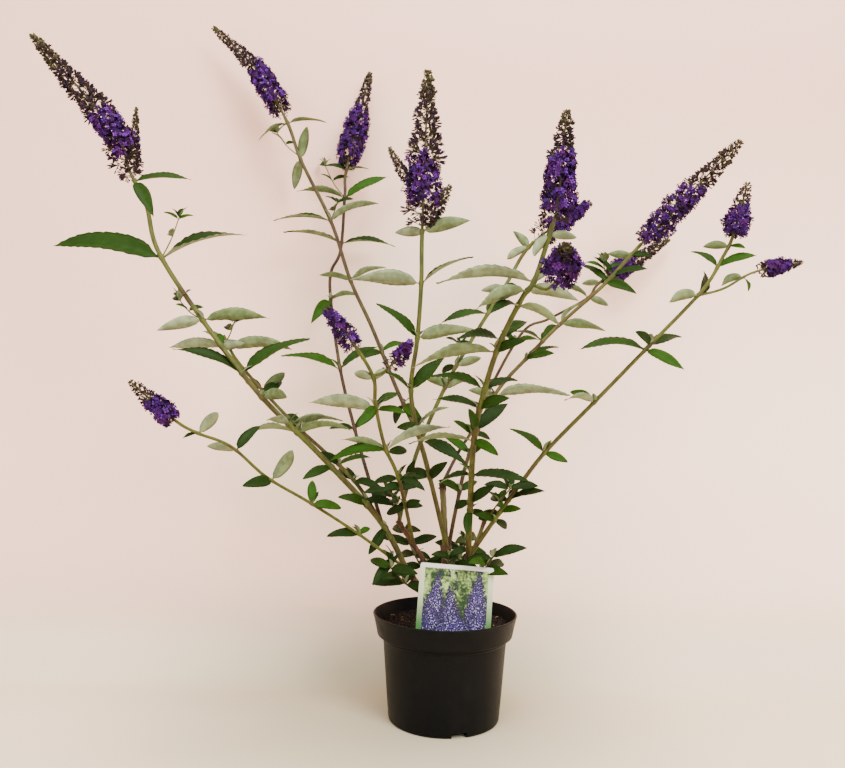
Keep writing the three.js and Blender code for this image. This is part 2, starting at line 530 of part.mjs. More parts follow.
function potSolid() {
  const pot = lathe([
    [0, 0],
    [POT_BASE_RADIUS - FOOT_CHAMFER.radius, 0],
    [wallRadiusAt(FOOT_CHAMFER.height) - POT_WALL, FOOT_CHAMFER.height / 3],
    [wallRadiusAt(FOOT_CHAMFER.height), FOOT_CHAMFER.height],
    [wallRadiusAt(ledgeFoot), ledgeFoot],
    [wallRadiusAt(ledgeFoot) + LEDGE.depth, ledgeFoot + EDGE],
    [WALL_TOP_RADIUS + LEDGE.depth, bandFoot],
    [BAND_LOW_RADIUS - 1, bandFoot],
    [BAND_LOW_RADIUS, bandFoot + 1],
    [POT_RIM_RADIUS, POT_HEIGHT - EDGE],
    [POT_RIM_RADIUS - 0.2, POT_HEIGHT],
    [POT_RIM_RADIUS - POT_WALL, POT_HEIGHT],
    [BAND_LOW_RADIUS - POT_WALL, bandFoot + POT_WALL + 1],
    [insideRadiusAt(bandFoot), bandFoot + POT_WALL],
    [insideRadiusAt(ledgeFoot), ledgeFoot],
    [insideRadiusAt(BASE_PLATE), BASE_PLATE],
    [0, BASE_PLATE],
  ], POT_SIDES);
  const cuts = [];
  for (let gap = 0; gap < FEET_GAPS; gap += 1) {
    const turn = radians(FEET_GAP.first_turn + (360 * gap) / FEET_GAPS);
    const depth = FEET_GAP.depth + FEET_GAP.overrun;
    const notch = new THREE.BoxGeometry(depth, FEET_GAP.width, FEET_GAP.height * 2)
      .translate(POT_BASE_RADIUS + FEET_GAP.overrun - depth / 2, 0, 0);
    cuts.push(solidFrom(notch.rotateZ(turn)));
    const { radius, ring, length, sides } = DRAIN_HOLE;
    const hole = new THREE.CylinderGeometry(radius, radius, length, sides).rotateX(Math.PI / 2);
    cuts.push(solidFrom(hole.translate(ring, 0, 0).rotateZ(turn)));
  }
  return cuts.reduce((body, cut) => body.subtract(cut), pot);
}

// Compost that fills the pot, with a slot for the label's stake.
function soilSolid(slot) {
  const inside = (height) => insideRadiusAt(height) - 2 * CLEARANCE;
  const foot = BASE_PLATE + CLEARANCE;
  const soil = lathe([
    [0, foot],
    [inside(foot), foot],
    [inside(ledgeFoot), ledgeFoot],
    [inside(bandFoot), bandFoot + POT_WALL + 2],
    [BAND_LOW_RADIUS - POT_WALL - 1, bandFoot + 5],
    [BAND_LOW_RADIUS - POT_WALL, SOIL_EDGE],
    ...SOIL_MOUND.map(([radius, rise]) => [radius, SOIL_EDGE + rise]),
    [CROWN.flare * 1.5, SOIL_TOP],
    [0, SOIL_TOP],
  ], SOIL_SIDES);
  return soil.subtract(slot);
}

// A card on a pointed stake; `grow` thickens it to cut its slot in the compost.
function labelGeometry(grow = 0) {
  const half = LABEL.width / 2;
  const stake = LABEL.stake_width / 2 + grow;
  const point = -LABEL.stake_length - grow;
  const shoulder = LABEL.stake_point - LABEL.stake_length - grow;
  const top = LABEL.height - LABEL.corner;
  const outline = new THREE.Shape();
  outline.moveTo(-half, 0);
  outline.lineTo(-stake, 0);
  outline.lineTo(-stake * 0.7, shoulder);
  outline.lineTo(0, point);
  outline.lineTo(stake * 0.7, shoulder);
  outline.lineTo(stake, 0);
  outline.lineTo(half, 0);
  outline.lineTo(half, top);
  outline.absarc(half - LABEL.corner, top, LABEL.corner, 0, Math.PI / 2);
  outline.absarc(LABEL.corner - half, top, LABEL.corner, Math.PI / 2, Math.PI);
  const depth = LABEL.thick + 2 * grow;
  const card = new THREE.ExtrudeGeometry(outline, { depth, bevelEnabled: false, curveSegments: 3 });
  return card.translate(0, 0, -depth / 2)
    .rotateZ(radians(LABEL.tilt))
    .rotateX(Math.PI / 2 + radians(LABEL.lean))
    .translate(...LABEL.foot);
}

// ---------------------------------------------------------------- crown
function crownSolid(grow = 0) {
  const foot = SOIL_TOP + CLEARANCE;
  const trunk = smooth([[0, 0, foot], [0, 0, foot + CROWN.flare_height], CROWN.top]);
  const flareAt = [CROWN.flare, CROWN.radius + 2.5, CROWN.radius, CROWN.top_radius];
  const rings = ringsAlong(trunk, 0, trunk.getLength(), flareAt.length - 1);
  const base = solidFrom(loft(rings, CROWN.sides, (level) => flareAt[level] + grow));
  const stubs = STUBS.map(({ route, radii }) => {
    const curve = smooth(route);
    return limb(curve, 0, curve.getLength(), radii, STUB_SIDES, 4, grow);
  });
  return union([base, ...stubs]);
}

// ---------------------------------------------------------------- assembly
const plant = new THREE.Group();
plant.name = 'butterfly_bush';
const obstacles = [];
const place = (name, solid, finish) => {
  plant.add(meshFrom(name, solid, finish));
  obstacles.push(solid);
};

const pot = potSolid();
place('pot', pot, FINISHES.plastic);
place('soil', soilSolid(solidFrom(labelGeometry(CLEARANCE))), FINISHES.compost);
place('label', solidFrom(labelGeometry()), FINISHES.card);
const crown = crownSolid();
place('crown', crown, FINISHES.wood);

// Boughs first, each cut clear of the crown and of the boughs before it.
const cutters = [crownSolid(CLEARANCE)];
const curves = Object.fromEntries(Object.entries(CANES).map(([name, cane]) => [name, smooth(cane.route)]));
Object.entries(CANES).forEach(([name, cane]) => {
  const steps = Math.round(cane.bare / STEM_STEP);
  const shape = (grow) => limb(curves[name], 0, cane.bare, cane.radii, CANE_SIDES, steps, grow);
  const bough = cutters.reduce((body, cutter) => body.subtract(cutter), shape(0));
  place(`cane_${name}`, mainBody(bough), BROWN_CANES.includes(name) ? FINISHES.brown_cane : FINISHES.cane);
  cutters.push(shape(CLEARANCE));
});

Object.entries(CANES).forEach(([name, cane], index) => {
  if (!cane.spike) {
    return;
  }
  const curve = curves[name];
  const seed = 10 * index;
  const flower = flowerSolid(curve, cane.spike, cane.whorls, seed, cane.companions);
  place(`flower_${name}`, flower, FINISHES.flower);
  if (cane.side) {
    const side = flowerSolid(sideCurve(cane, curve), cane.side.spike, cane.side.whorls, seed + 5);
    place(`flower_${name}_side`, side, FINISHES.flower);
  }
});

Object.entries(CANES).forEach(([name, cane], index) => {
  place(`spray_${name}`, spraySolid(cane, curves[name], 20 * index, obstacles), FINISHES.leaf);
});

Object.entries(BASAL).forEach(([name, shoot], index) => {
  const body = basalSolid(shoot, 300 + 10 * index, obstacles.filter((other) => other !== crown));
  place(name, mainBody(cutters.reduce((rest, cutter) => rest.subtract(cutter), body)), FINISHES.leaf);
});

export default plant;
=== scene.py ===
"""Looks of a butterfly bush in a round nursery pot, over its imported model.

The scene is in metres with +Z up. The plant's tables and meshes are in millimetres until they are built.
"""
import json
import math

import bmesh
import bpy
import numpy as np
from mathutils import Matrix, Vector, noise

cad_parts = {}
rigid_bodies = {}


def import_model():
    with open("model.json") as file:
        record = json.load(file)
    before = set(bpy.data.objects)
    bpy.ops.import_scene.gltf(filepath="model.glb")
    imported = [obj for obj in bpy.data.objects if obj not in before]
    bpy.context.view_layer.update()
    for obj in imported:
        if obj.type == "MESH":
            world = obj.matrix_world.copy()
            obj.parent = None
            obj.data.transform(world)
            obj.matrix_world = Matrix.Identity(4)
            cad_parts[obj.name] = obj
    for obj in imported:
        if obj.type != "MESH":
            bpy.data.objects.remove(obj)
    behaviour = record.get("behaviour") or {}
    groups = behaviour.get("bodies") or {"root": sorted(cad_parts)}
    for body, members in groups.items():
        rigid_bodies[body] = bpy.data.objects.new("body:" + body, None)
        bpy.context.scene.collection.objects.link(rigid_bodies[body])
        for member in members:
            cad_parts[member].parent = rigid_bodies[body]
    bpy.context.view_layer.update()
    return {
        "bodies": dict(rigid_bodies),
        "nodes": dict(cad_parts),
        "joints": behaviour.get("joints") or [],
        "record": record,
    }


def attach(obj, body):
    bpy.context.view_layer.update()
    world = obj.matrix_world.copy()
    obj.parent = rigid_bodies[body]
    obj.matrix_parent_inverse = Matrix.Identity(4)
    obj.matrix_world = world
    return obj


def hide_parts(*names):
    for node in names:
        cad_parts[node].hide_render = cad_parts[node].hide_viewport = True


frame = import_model()

MM = 0.001

# ---------------------------------------------------------------- sizes, in millimetres
POT_RIM_RADIUS = 97
POT_HEIGHT = 139
POT_BASE_RADIUS = 74.2
POT_WALL = 1.6
BASE_PLATE = 8.5
BAND_HEIGHT = 28
BAND_LOW_RADIUS = 91
WALL_TOP_RADIUS = 83.4
LEDGE_DEPTH, LEDGE_HEIGHT = 0.9, 6
FEET_GAPS = 3
FEET_GAP = {"width": 20, "height": 6.8, "depth": 17, "overrun": 3, "first_turn": -76}
DRAIN_HOLE = {"radius": 4, "ring": 62, "depth": 30}

SOIL_EDGE = 122  # height where the compost meets the pot's wall
SOIL_PROFILE = [(0, 126), (25, 126), (38, 125), (55, 124), (72, 123), (89.4, 122)]  # [radius, height]

# The card's foot is the middle of its lower edge. Angles are in degrees.
LABEL = {"width": 95, "height": 85, "foot": (8, -65.5, 127), "lean": -10, "tilt": -3.6}

CROWN = {"top": (0, 0, 162), "foot": 126.3, "flare_height": 14, "radii": (15, 12, 9.5, 7.5)}
# Woody stubs of earlier years, with their radii at both ends. `tone` is a place in WOOD.
STUBS = [
    {"route": [[-3, -1, 132], [-30, -4, 166], [-53, -6, 195]], "radii": [4.8, 4.3], "cut": False},
    {
        "route": [[-2, -1, 148], [-30, -6, 207], [-48, -13, 235], [-65, -20, 262]],
        "radii": [4, 3], "cut": True,
    },
    {"route": [[0, 0, 150], [1, 4, 190], [0, 5, 226]], "radii": [7, 6], "cut": True},
    {"route": [[0, 6, 214], [-3, 7, 262], [-6, 8, 311]], "radii": [4.4, 4], "cut": True, "tone": 2},
    {"route": [[3, -1, 148], [18, -6, 186], [31, -11, 216]], "radii": [4.8, 4.2], "cut": False},
    {"route": [[31, -11, 212], [42, -16, 240], [50, -21, 264]], "radii": [2.8, 2.4], "cut": True, "tone": 2},
]

# Canes from the foot up. Distances are measured along a cane from its foot, and angles are in degrees.
# route, radii, brown: the way of the whole cane, and its radii and how brown it is at both ends
# spike, bloom: the flower's length and widest radius, and the part of it, from foot to tip, that is open
# leaves: a row for each place, [distance, leaf, leaf], where a leaf is [turn, length, lift, roll]
# shoots: leafy side shoots, [distance, turn, length, lift]
# companions: small spikes in bud that leave the flower `at` a distance from its own foot
# side: a side branch `from` a distance, with its own route, spike, bloom and leaves
# fullness, spacing: shares of the usual number of florets and of the usual step between whorls
# bud_reach: how far cymes in bud reach, as a share of what open ones would
CANES = {
    "arch_left": {
        "route": [[-50, -5, 190], [-90, -14, 261], [-168, -32, 346], [-251, -52, 429], [-326, -70, 527],
            [-379, -79, 608], [-394, -86, 666], [-414, -92, 706], [-437, -97, 761], [-536, -110, 872]],
        "radii": [3.8, 1.9], "spike": [220, 22], "bloom": [0.15, 0.4], "brown": [0.35, 0.12],
        "bud_reach": 1.25,
        "companions": [{"at": 6, "to": [-2, 12, 92], "radius": 9}],
        "leaves": [[70, [-130, 45, -45, 60]], [110, [-150, 45, 15, 60], [45, 45, 20, 35]],
            [180, [-145, 45, -20, 50]], [245, [160, 80, 0, -15], [-20, 80, 5, -25]],
            [260, [-110, 55, 5, -30], [25, 75, 5, -20]], [310, [-45, 60, 0, -60], [70, 55, 25, 30]],
            [350, [-165, 92, 18, 35], [15, 100, 30, 35]], [395, [165, 78, -2, -40], [60, 45, 10, -90]],
            [435, [-140, 62, -18, -65], [10, 85, 4, -40]], [530, [-176, 138, 6, 60], [5, 112, 20, 30]],
            [636, [-20, 60, -57, 55], [20, 70, 8, 40]]],
        "shoots": [[435, 165, 45, 30], [530, 50, 60, 65]],
    },
    "short_left": {
        "route": [[-90, -12, 261], [-131, -4, 318], [-213, -12, 393], [-284, -20, 469], [-306, -24, 507]],
        "radii": [2.5, 1.7], "spike": None, "brown": [0.5, 0.3],
        "leaves": [[65, [-30, 50, -15, 35], [130, 40, 20, 35]], [95, [30, 50, 10, 20], [-140, 35, 30, 80]],
            [165, [-35, 50, 25, -30], [135, 40, 35, 30]], [240, [-30, 45, 30, -60], [140, 40, 20, 45]],
            [312, [-10, 90, 0, -40], [150, 60, 25, -40]]],
        "shoots": [[322, 60, 30, 60]],
    },
    "low_left": {
        "route": [[-52, -9, 196], [-117, -60, 251], [-172, -110, 294], [-216, -150, 326], [-250, -185, 362],
            [-281, -210, 377], [-302, -225, 391], [-340, -250, 429]],
        "radii": [1.7, 1.3], "spike": [62, 13], "bloom": [0.08, 0.55], "brown": [0.25, 0.1],
        "fullness": 0.75,
        "leaves": [[30, [-120, 20, 35, 115], [-135, 46, -42, 35]], [95, [-150, 45, 0, 45], [45, 20, 20, 40]],
            [180, [100, 32, 60, 0], [30, 40, -10, 60]], [245, [-125, 45, -5, 65], [-40, 52, 45, -60]],
            [305, [-150, 34, 8, -55], [50, 42, 42, 30]], [355, [-30, 38, 38, -60], [-150, 18, -20, 30]]],
        "shoots": [],
    },
    "upright_back": {
        "route": [[-88, -8, 258], [-108, 20, 313], [-133, 60, 382], [-159, 82, 472], [-178, 100, 579],
            [-179, 105, 623], [-166, 112, 660], [-163, 124, 749], [-161, 130, 798], [-130, 150, 957]],
        "radii": [2.3, 1.9], "spike": [168, 23], "bloom": [0.0, 0.59], "brown": [0.95, 0.62],
        "bud_reach": 1,
        "leaves": [[150, [-150, 40, 0, 40], [45, 45, 35, 40]], [245, [-160, 90, 10, 35], [25, 75, 30, 30]],
            [355, [-125, 60, -45, 50], [40, 50, 15, -30]], [450, [-165, 90, 5, 15], [15, 85, 0, 30]],
            [525, [-160, 75, 0, -10], [15, 80, 30, 50]], [572, [-165, 34, 5, 50], [10, 36, 5, 20]]],
        "shoots": [[525, 150, 70, 50]],
    },
    "lean_left": {
        "route": [[1, 7, 226], [-20, 25, 306], [-38, 40, 368], [-74, 55, 444], [-112, 70, 533],
            [-147, 80, 606], [-179, 90, 696], [-229, 100, 794], [-255, 105, 860], [-308, 116, 947],
            [-379, 130, 1017]],
        "radii": [2.7, 2.1], "spike": [198, 21], "bloom": [0.1, 0.48], "brown": [0.8, 0.5],
        "bud_reach": 1,
        "leaves": [[210, [-50, 55, -30, 65], [115, 40, -45, 120]],
            [295, [35, 45, 20, 30], [-140, 40, -20, 45]],
            [415, [-145, 55, 0, -20], [30, 65, 25, -30]], [515, [-170, 85, -5, 20], [10, 80, 25, -20]],
            [625, [115, 50, -50, -10], [-60, 50, 60, -20]], [688, [-170, 55, -35, 10], [10, 60, 5, 10]]],
        "shoots": [[630, 170, 55, 40], [515, 60, 35, 60]],
    },
    "centre": {
        "route": [[0, 0, 228], [-21, -25, 310], [-45, -45, 397], [-51, -55, 443], [-44, -65, 500],
            [-40, -75, 573], [-40, -80, 642], [-36, -95, 840]],
        "radii": [2.9, 2], "spike": [198, 27], "bloom": [0.17, 0.43], "brown": [0.45, 0.1],
        "bud_reach": 1.25,
        "companions": [
            {"at": 45, "to": [-45, 8, 62], "radius": 10},
            {"at": 4, "to": [34, -12, 48], "radius": 12},
        ],
        "leaves": [[100, [-55, 45, 30, 105], [145, 35, 15, 40]], [170, [-125, 45, 0, 70], [35, 60, 30, -30]],
            [220, [-150, 55, 25, 35], [25, 70, 45, 45]], [290, [-160, 70, 35, 55], [20, 85, 10, -50]],
            [360, [170, 95, 5, -45], [-15, 75, 25, 20]], [427, [145, 45, 5, -60], [-15, 65, 10, -60]]],
        "shoots": [],
    },
    "slender_right": {
        "route": [[-64, -19, 262], [-56, -8, 300], [-38, 5, 365], [-2, 15, 449], [30, 25, 508],
            [80, 35, 592], [120, 40, 657], [198, 20, 711]],
        "radii": [2.5, 2.2], "spike": [95, 21], "bloom": [0.22, 0.93], "brown": [0.3, 0.15],
        "leaves": [[55, [-70, 40, 50, 125], [35, 35, 10, 35]], [115, [-25, 80, -25, 35], [140, 45, 25, 30]],
            [195, [35, 45, 20, -70], [-145, 40, 20, -45]], [230, [-30, 40, 15, -60], [135, 30, -15, 85]],
            [320, [-165, 75, -15, 35], [40, 40, 35, 40]], [365, [140, 40, 0, -65], [-45, 25, -5, 65]],
            [436, [-150, 45, -30, -65], [135, 40, 45, -90]]],
        "shoots": [[230, 70, 35, 55]],
    },
    "tall_right": {
        "route": [[30, -11, 216], [29, -40, 271], [28, -120, 377], [39, -155, 441], [53, -180, 489],
            [73, -205, 533], [86, -212, 553], [102, -220, 607], [108, -225, 633], [115, -235, 731]],
        "radii": [3.6, 1.7], "spike": [120, 21], "bloom": [0.08, 0.6], "brown": [0.35, 0.08],
        "bud_reach": 1.25,
        "leaves": [[74, [-105, 34, -55, 5], [45, 30, -15, 85]], [90, [-40, 45, 30, 80], [135, 30, -20, 90]],
            [135, [-15, 75, -5, 35], [145, 50, -15, 30]], [190, [175, 80, -5, -10], [-40, 40, -25, 50]],
            [205, [30, 60, 35, 50], [-110, 40, 40, 130]], [235, [160, 60, 10, 30], [-40, 45, 15, 75]],
            [260, [-160, 70, 10, 40], [30, 50, 15, 30]], [310, [175, 100, -10, -25], [-40, 40, 15, 75]],
            [325, [-145, 65, -5, 40], [40, 50, 30, 35]], [370, [-130, 55, -15, 25], [15, 55, -20, -25]],
            [390, [-145, 80, -20, -50], [20, 65, -5, -45]], [402, [-170, 110, -5, -15], [35, 60, 25, -50]],
            [455, [-135, 40, -45, -90], [-20, 30, -10, -50]]],
        "shoots": [],
        "side": {
            "from": 398, "route": [[96, -222, 540], [101, -238, 542], [106, -253, 550], [104, -298, 568]],
            "spike": [50, 22], "bloom": [0.02, 0.72],
        },
    },
    "arch_right": {
        "route": [[4, 8, 226], [15, 15, 284], [31, 25, 350], [66, 30, 434], [114, 35, 491],
            [164, 35, 543], [221, 30, 596], [271, 20, 653], [401, -5, 793]],
        "radii": [2.3, 2.1], "spike": [192, 21], "bloom": [0.03, 0.52], "brown": [0.8, 0.2],
        "spacing": 1.25, "bud_reach": 1.3,
        "leaves": [[75, [-145, 40, 25, 70], [35, 35, 25, 40]], [130, [-45, 35, 30, 90], [150, 45, 30, 40]],
            [220, [-10, 105, 0, -30], [145, 45, 10, -65]], [290, [-45, 50, 5, 60], [25, 60, 20, 25]],
            [325, [-145, 55, 10, 30], [50, 50, 35, 30]], [360, [-20, 65, -10, -40], [35, 55, 40, -50]],
            [450, [-50, 55, -25, 55], [135, 50, 35, 30]], [462, [-30, 50, 5, 50], [140, 45, 45, 20]],
            [500, [145, 35, 10, -65], [-30, 30, -10, 50]]],
        "shoots": [[455, 120, 30, 60]],
    },
    "back_right": {
        "route": [[-6, 8, 311], [18, 40, 355], [42, 65, 392], [67, 90, 451], [116, 105, 536],
            [157, 115, 558], [218, 125, 593], [244, 130, 623], [354, 155, 695]],
        "radii": [1.9, 1.5], "spike": [128, 17], "bloom": [0.04, 0.34], "brown": [0.85, 0.6],
        "leaves": [[95, [25, 35, -15, 55], [-150, 35, 30, 65]], [255, [30, 50, 10, 30], [-140, 35, 30, 80]],
            [400, [155, 50, 25, -30], [-30, 35, -25, -65]], [432, [150, 30, 0, -55], [-40, 30, 10, 75]]],
        "shoots": [],
    },
    "low_right": {
        "route": [[30, -12, 214], [53, -25, 252], [96, -55, 321], [126, -70, 363], [182, -95, 426],
            [241, -115, 492], [301, -130, 559], [323, -137, 598], [335, -140, 625], [348, -150, 684]],
        "radii": [2.5, 1.4], "spike": [62, 17], "bloom": [0.04, 0.57], "brown": [0.45, 0.15],
        "fullness": 0.75,
        "leaves": [[65, [-145, 35, 15, 70], [45, 30, -25, 90]], [80, [135, 40, -20, 90], [-30, 30, 10, 60]],
            [100, [-20, 50, 15, 35], [135, 30, 0, 70]], [180, [-165, 57, 32, 50], [-20, 32, -20, 65]],
            [270, [-135, 65, 0, -20], [130, 40, 20, 50]], [360, [-170, 85, 0, 35], [-35, 55, -30, 50]],
            [366, [-130, 40, 20, 95], [30, 60, 15, 35]], [450, [-145, 60, -15, -55], [60, 50, 45, 65]],
            [490, [140, 40, 35, 30], [-20, 45, 15, 55]], [518, [150, 30, 5, -55], [-35, 20, -15, 45]]],
        "shoots": [],
        "side": {
            "from": 449, "route": [[333, -118, 565], [381, -95, 591], [452, -70, 610]],
            "spike": [72, 12], "bloom": [0.18, 0.7], "fullness": 0.75,
            "leaves": [[78, [-150, 45, -20, -55], [-90, 25, -55, -40]]],
        },
    },
    "front_left": {
        "route": [[-45, -15, 234], [-56, -50, 288], [-67, -85, 331], [-81, -110, 364], [-91, -145, 412],
            [-93, -165, 444], [-114, -185, 479], [-144, -215, 516]],
        "radii": [2.2, 1.6], "spike": [60, 14], "bloom": [0.08, 0.95], "brown": [0.4, 0.1],
        "fullness": 0.4,
        "leaves": [[60, [-45, 30, 20, 90], [140, 35, -20, 75]], [100, [-140, 30, -15, 50], [40, 30, 30, 30]],
            [110, [155, 35, -10, 55], [-25, 40, -20, 30]], [155, [-160, 60, 15, -30], [45, 35, 5, 65]],
            [160, [-165, 70, -10, 40], [10, 85, 20, -35]], [220, [-170, 80, 5, -50], [30, 40, -5, 45]],
            [226, [-130, 40, -40, 55], [35, 40, 25, 30]], [262, [-135, 30, 10, -60], [40, 25, 30, -80]]],
        "shoots": [],
        "side": {
            "from": 266, "route": [[-78, -175, 452], [-49, -225, 479]],
            "spike": [58, 12], "bloom": [0.35, 0.95], "fullness": 0.4,
        },
    },
}

# Short leafy shoots round the crown: number of leaf pairs, length of a leaf and turn of the last pair.
BASAL = {
    "basal_left": {
        "route": [[-22, -4, 158], [-52, -28, 180], [-74, -46, 206]], "pairs": 3, "leaf": 42, "turn": 150,
    },
    "basal_left_high": {
        "route": [[-62, -20, 257], [-68, -38, 284], [-78, -48, 306]], "pairs": 3, "leaf": 36, "turn": 10,
    },
    "basal_front": {
        "route": [[1, 1, 166], [2, -10, 192], [3, -17, 218]], "pairs": 3, "leaf": 26, "turn": 10,
    },
    "basal_right": {
        "route": [[20, -7, 188], [46, -36, 200], [60, -48, 222]], "pairs": 3, "leaf": 40, "turn": -30,
    },
    "basal_right_high": {
        "route": [[49, -20, 259], [62, -48, 286], [80, -62, 312]], "pairs": 2, "leaf": 33, "turn": 0,
    },
    "basal_back": {
        "route": [[2, 3, 160], [18, 42, 192], [30, 62, 228]], "pairs": 4, "leaf": 44, "turn": 60,
    },
    "basal_back_left": {
        "route": [[-3, 3, 156], [-38, 36, 200], [-58, 52, 238]], "pairs": 4, "leaf": 42, "turn": 120,
    },
}

LEAF_WIDTH = {"base": 5, "growth": 0.2}  # a leaf's width is the base and this share of its length
LEAF_ARCH = 0.075
LEAF_FOLD = 0.45
# [share of the spike's length, share of its widest radius]
SPIKE_OUTLINE = [(0, 0.5), (0.08, 0.88), (0.22, 1), (0.45, 0.85), (0.7, 0.55), (0.9, 0.34), (1, 0.18)]


# ---------------------------------------------------------------- numbers, curves and rings
# A sine of the indices, scaled until its fraction looks random.
FIRST_WAVE, SECOND_WAVE, WAVE_HEIGHT = 12.9898, 78.233, 43758.5453
FIRST_NORMAL = (0.3, 1, 0.2)  # near this direction a tube's first corner lies
TANGENT_REACH = 0.5  # millimetres to each side over which a curve's direction is taken
SPIN = 6.3  # about a full turn, in radians


def chance(a, b):
    """A repeatable number from 0 to 1 for each pair of indices."""
    wave = math.sin(a * FIRST_WAVE + b * SECOND_WAVE) * WAVE_HEIGHT
    return wave - math.floor(wave)


def spread(a, b, width=1.0):
    """A repeatable number from -width to width."""
    return width * (2 * chance(a, b) - 1)


def mix(a, b, share):
    return a + (b - a) * share


def unit(vector):
    return vector / np.linalg.norm(vector)


class Curve:
    """A smooth route through points, read by the distance along it, in millimetres."""

    def __init__(self, route, samples=60):
        points = np.array(route, float)
        self.points = np.vstack([2 * points[0] - points[1], points, 2 * points[-1] - points[-2]])
        self.spans = len(points) - 1
        self.steps = np.linspace(0, self.spans, self.spans * samples + 1)
        places = np.array([self._at(step) for step in self.steps])
        lengths = np.linalg.norm(np.diff(places, axis=0), axis=1)
        self.travelled = np.concatenate([[0], np.cumsum(lengths)])
        self.length = float(self.travelled[-1])

    def _at(self, step):
        span = min(int(step), self.spans - 1)
        t = step - span
        a, b, c, d = self.points[span:span + 4]
        return 0.5 * (2 * b + (c - a) * t + (2 * a - 5 * b + 4 * c - d) * t ** 2
                      + (3 * b - a - 3 * c + d) * t ** 3)

    def at(self, distance):
        return self._at(float(np.interp(distance, self.travelled, self.steps)))

    def along(self, distance):
        low, high = max(distance - TANGENT_REACH, 0), min(distance + TANGENT_REACH, self.length)
        return unit(self.at(high) - self.at(low))

    def rings(self, distances):
        """Centre, direction, normal and side at each distance, carried along without twist."""
        normal = np.array(FIRST_NORMAL)
        rings = []
        for distance in distances:
            along = self.along(distance)
            normal = unit(normal - along * normal.dot(along))
            rings.append((self.at(distance), along, normal, np.cross(along, normal)))
        return rings


def turned(vector, axis, angle):
    """The vector turned about an axis by an angle in radians."""
    return (vector * math.cos(angle) + np.cross(axis, vector) * math.sin(angle)
            + axis * axis.dot(vector) * (1 - math.cos(angle)))


# ---------------------------------------------------------------- meshes
class Pile:
    """Vertices and faces in millimetres, gathered for one object, with a finish index per face."""

    def __init__(self):
        self.vertices, self.faces, self.tones = [], [], []
        self.count = 0

    def add(self, vertices, faces, tones):
        """Adds a mesh whose faces all have the same number of corners."""
        vertices, faces = np.asarray(vertices, float), np.asarray(faces, int)
        self.vertices.append(vertices)
        self.faces.append(faces + self.count)
        self.tones.append(np.broadcast_to(np.asarray(tones, int), len(faces)).copy())
        self.count += len(vertices)

    def scatter(self, shape, frames, places, tones):
        """Adds a copy of a shape for each frame; a face takes the copy's tone of its own kind."""
        frames, places, tones = np.asarray(frames), np.asarray(places), np.asarray(tones)
        copies = np.einsum("vi,nij->nvj", shape.vertices, frames) + places[:, None]
        step = np.arange(len(places))[:, None, None] * len(shape.vertices)
        for faces, kinds in shape.groups:
            self.faces.append((faces[None] + step).reshape(-1, faces.shape[1]) + self.count)
            self.tones.append(tones[:, kinds].reshape(-1))
        self.vertices.append(copies.reshape(-1, 3))
        self.count += copies.shape[0] * copies.shape[1]

    def build(self, name, finishes, nodes, slot, smooth=True):
        """Makes the object, which replaces the nodes and rides with them."""
        totals = np.concatenate([np.full(len(faces), faces.shape[1]) for faces in self.faces])
        corners = np.concatenate([faces.ravel() for faces in self.faces])
        places = np.concatenate(self.vertices) * MM
        mesh = bpy.data.meshes.new(name)
        mesh.vertices.add(len(places))
        mesh.vertices.foreach_set("co", places.ravel())
        mesh.loops.add(len(corners))
        mesh.loops.foreach_set("vertex_index", corners)
        mesh.polygons.add(len(totals))
        mesh.polygons.foreach_set("loop_start", np.concatenate([[0], np.cumsum(totals)[:-1]]))
        mesh.polygons.foreach_set("material_index", np.concatenate(self.tones))
        mesh.polygons.foreach_set("use_smooth", np.full(len(totals), smooth))
        mesh.update(calc_edges=True)
        mesh.validate()
        for finish in finishes:
            mesh.materials.append(finish)
        return seat(linked(name, mesh), nodes)


def linked(name, data):
    """A new object in the scene."""
    piece = bpy.data.objects.new(name, data)
    bpy.context.scene.collection.objects.link(piece)
    return piece


def seat(piece, nodes):
    """Puts a piece on the plant in place of the nodes."""
    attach(piece, "root")
    if nodes:
        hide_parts(*nodes)
    return piece


class Shape:
    """A small mesh to scatter: vertices, and faces that each have a kind of finish."""

    def __init__(self, vertices, *groups):
        self.vertices = np.asarray(vertices, float)
        self.groups = [(np.asarray(faces, int), np.asarray(kinds, int)) for faces, kinds in groups]


def tube_faces(rings, sides):
    """Quads between rings that each have the same number of corners."""
    level, corner = np.meshgrid(np.arange(rings - 1), np.arange(sides), indexing="ij")
    here, beside = level * sides + corner, level * sides + (corner + 1) % sides
    return np.stack([here, beside, beside + sides, here + sides], axis=-1).reshape(-1, 4)


def lid_faces(sides, order=1):
    """Triangles between a ring and the middle point that follows it; order -1 turns them over."""
    return [(corner, (corner + 1) % sides, sides)[::order] for corner in range(sides)]


def fan_faces(first, corners):
    """Triangles that fill a small outline from its first corner."""
    return [(first, first + k, first + k + 1) for k in range(1, corners - 1)]


def turned_rings(profile, sides):
    """The corners of rings about the Z axis, from [radius, height] of each."""
    angles = np.arange(sides) * 2 * math.pi / sides
    return [(radius * math.cos(angle), radius * math.sin(angle), height)
            for radius, height in profile for angle in angles]


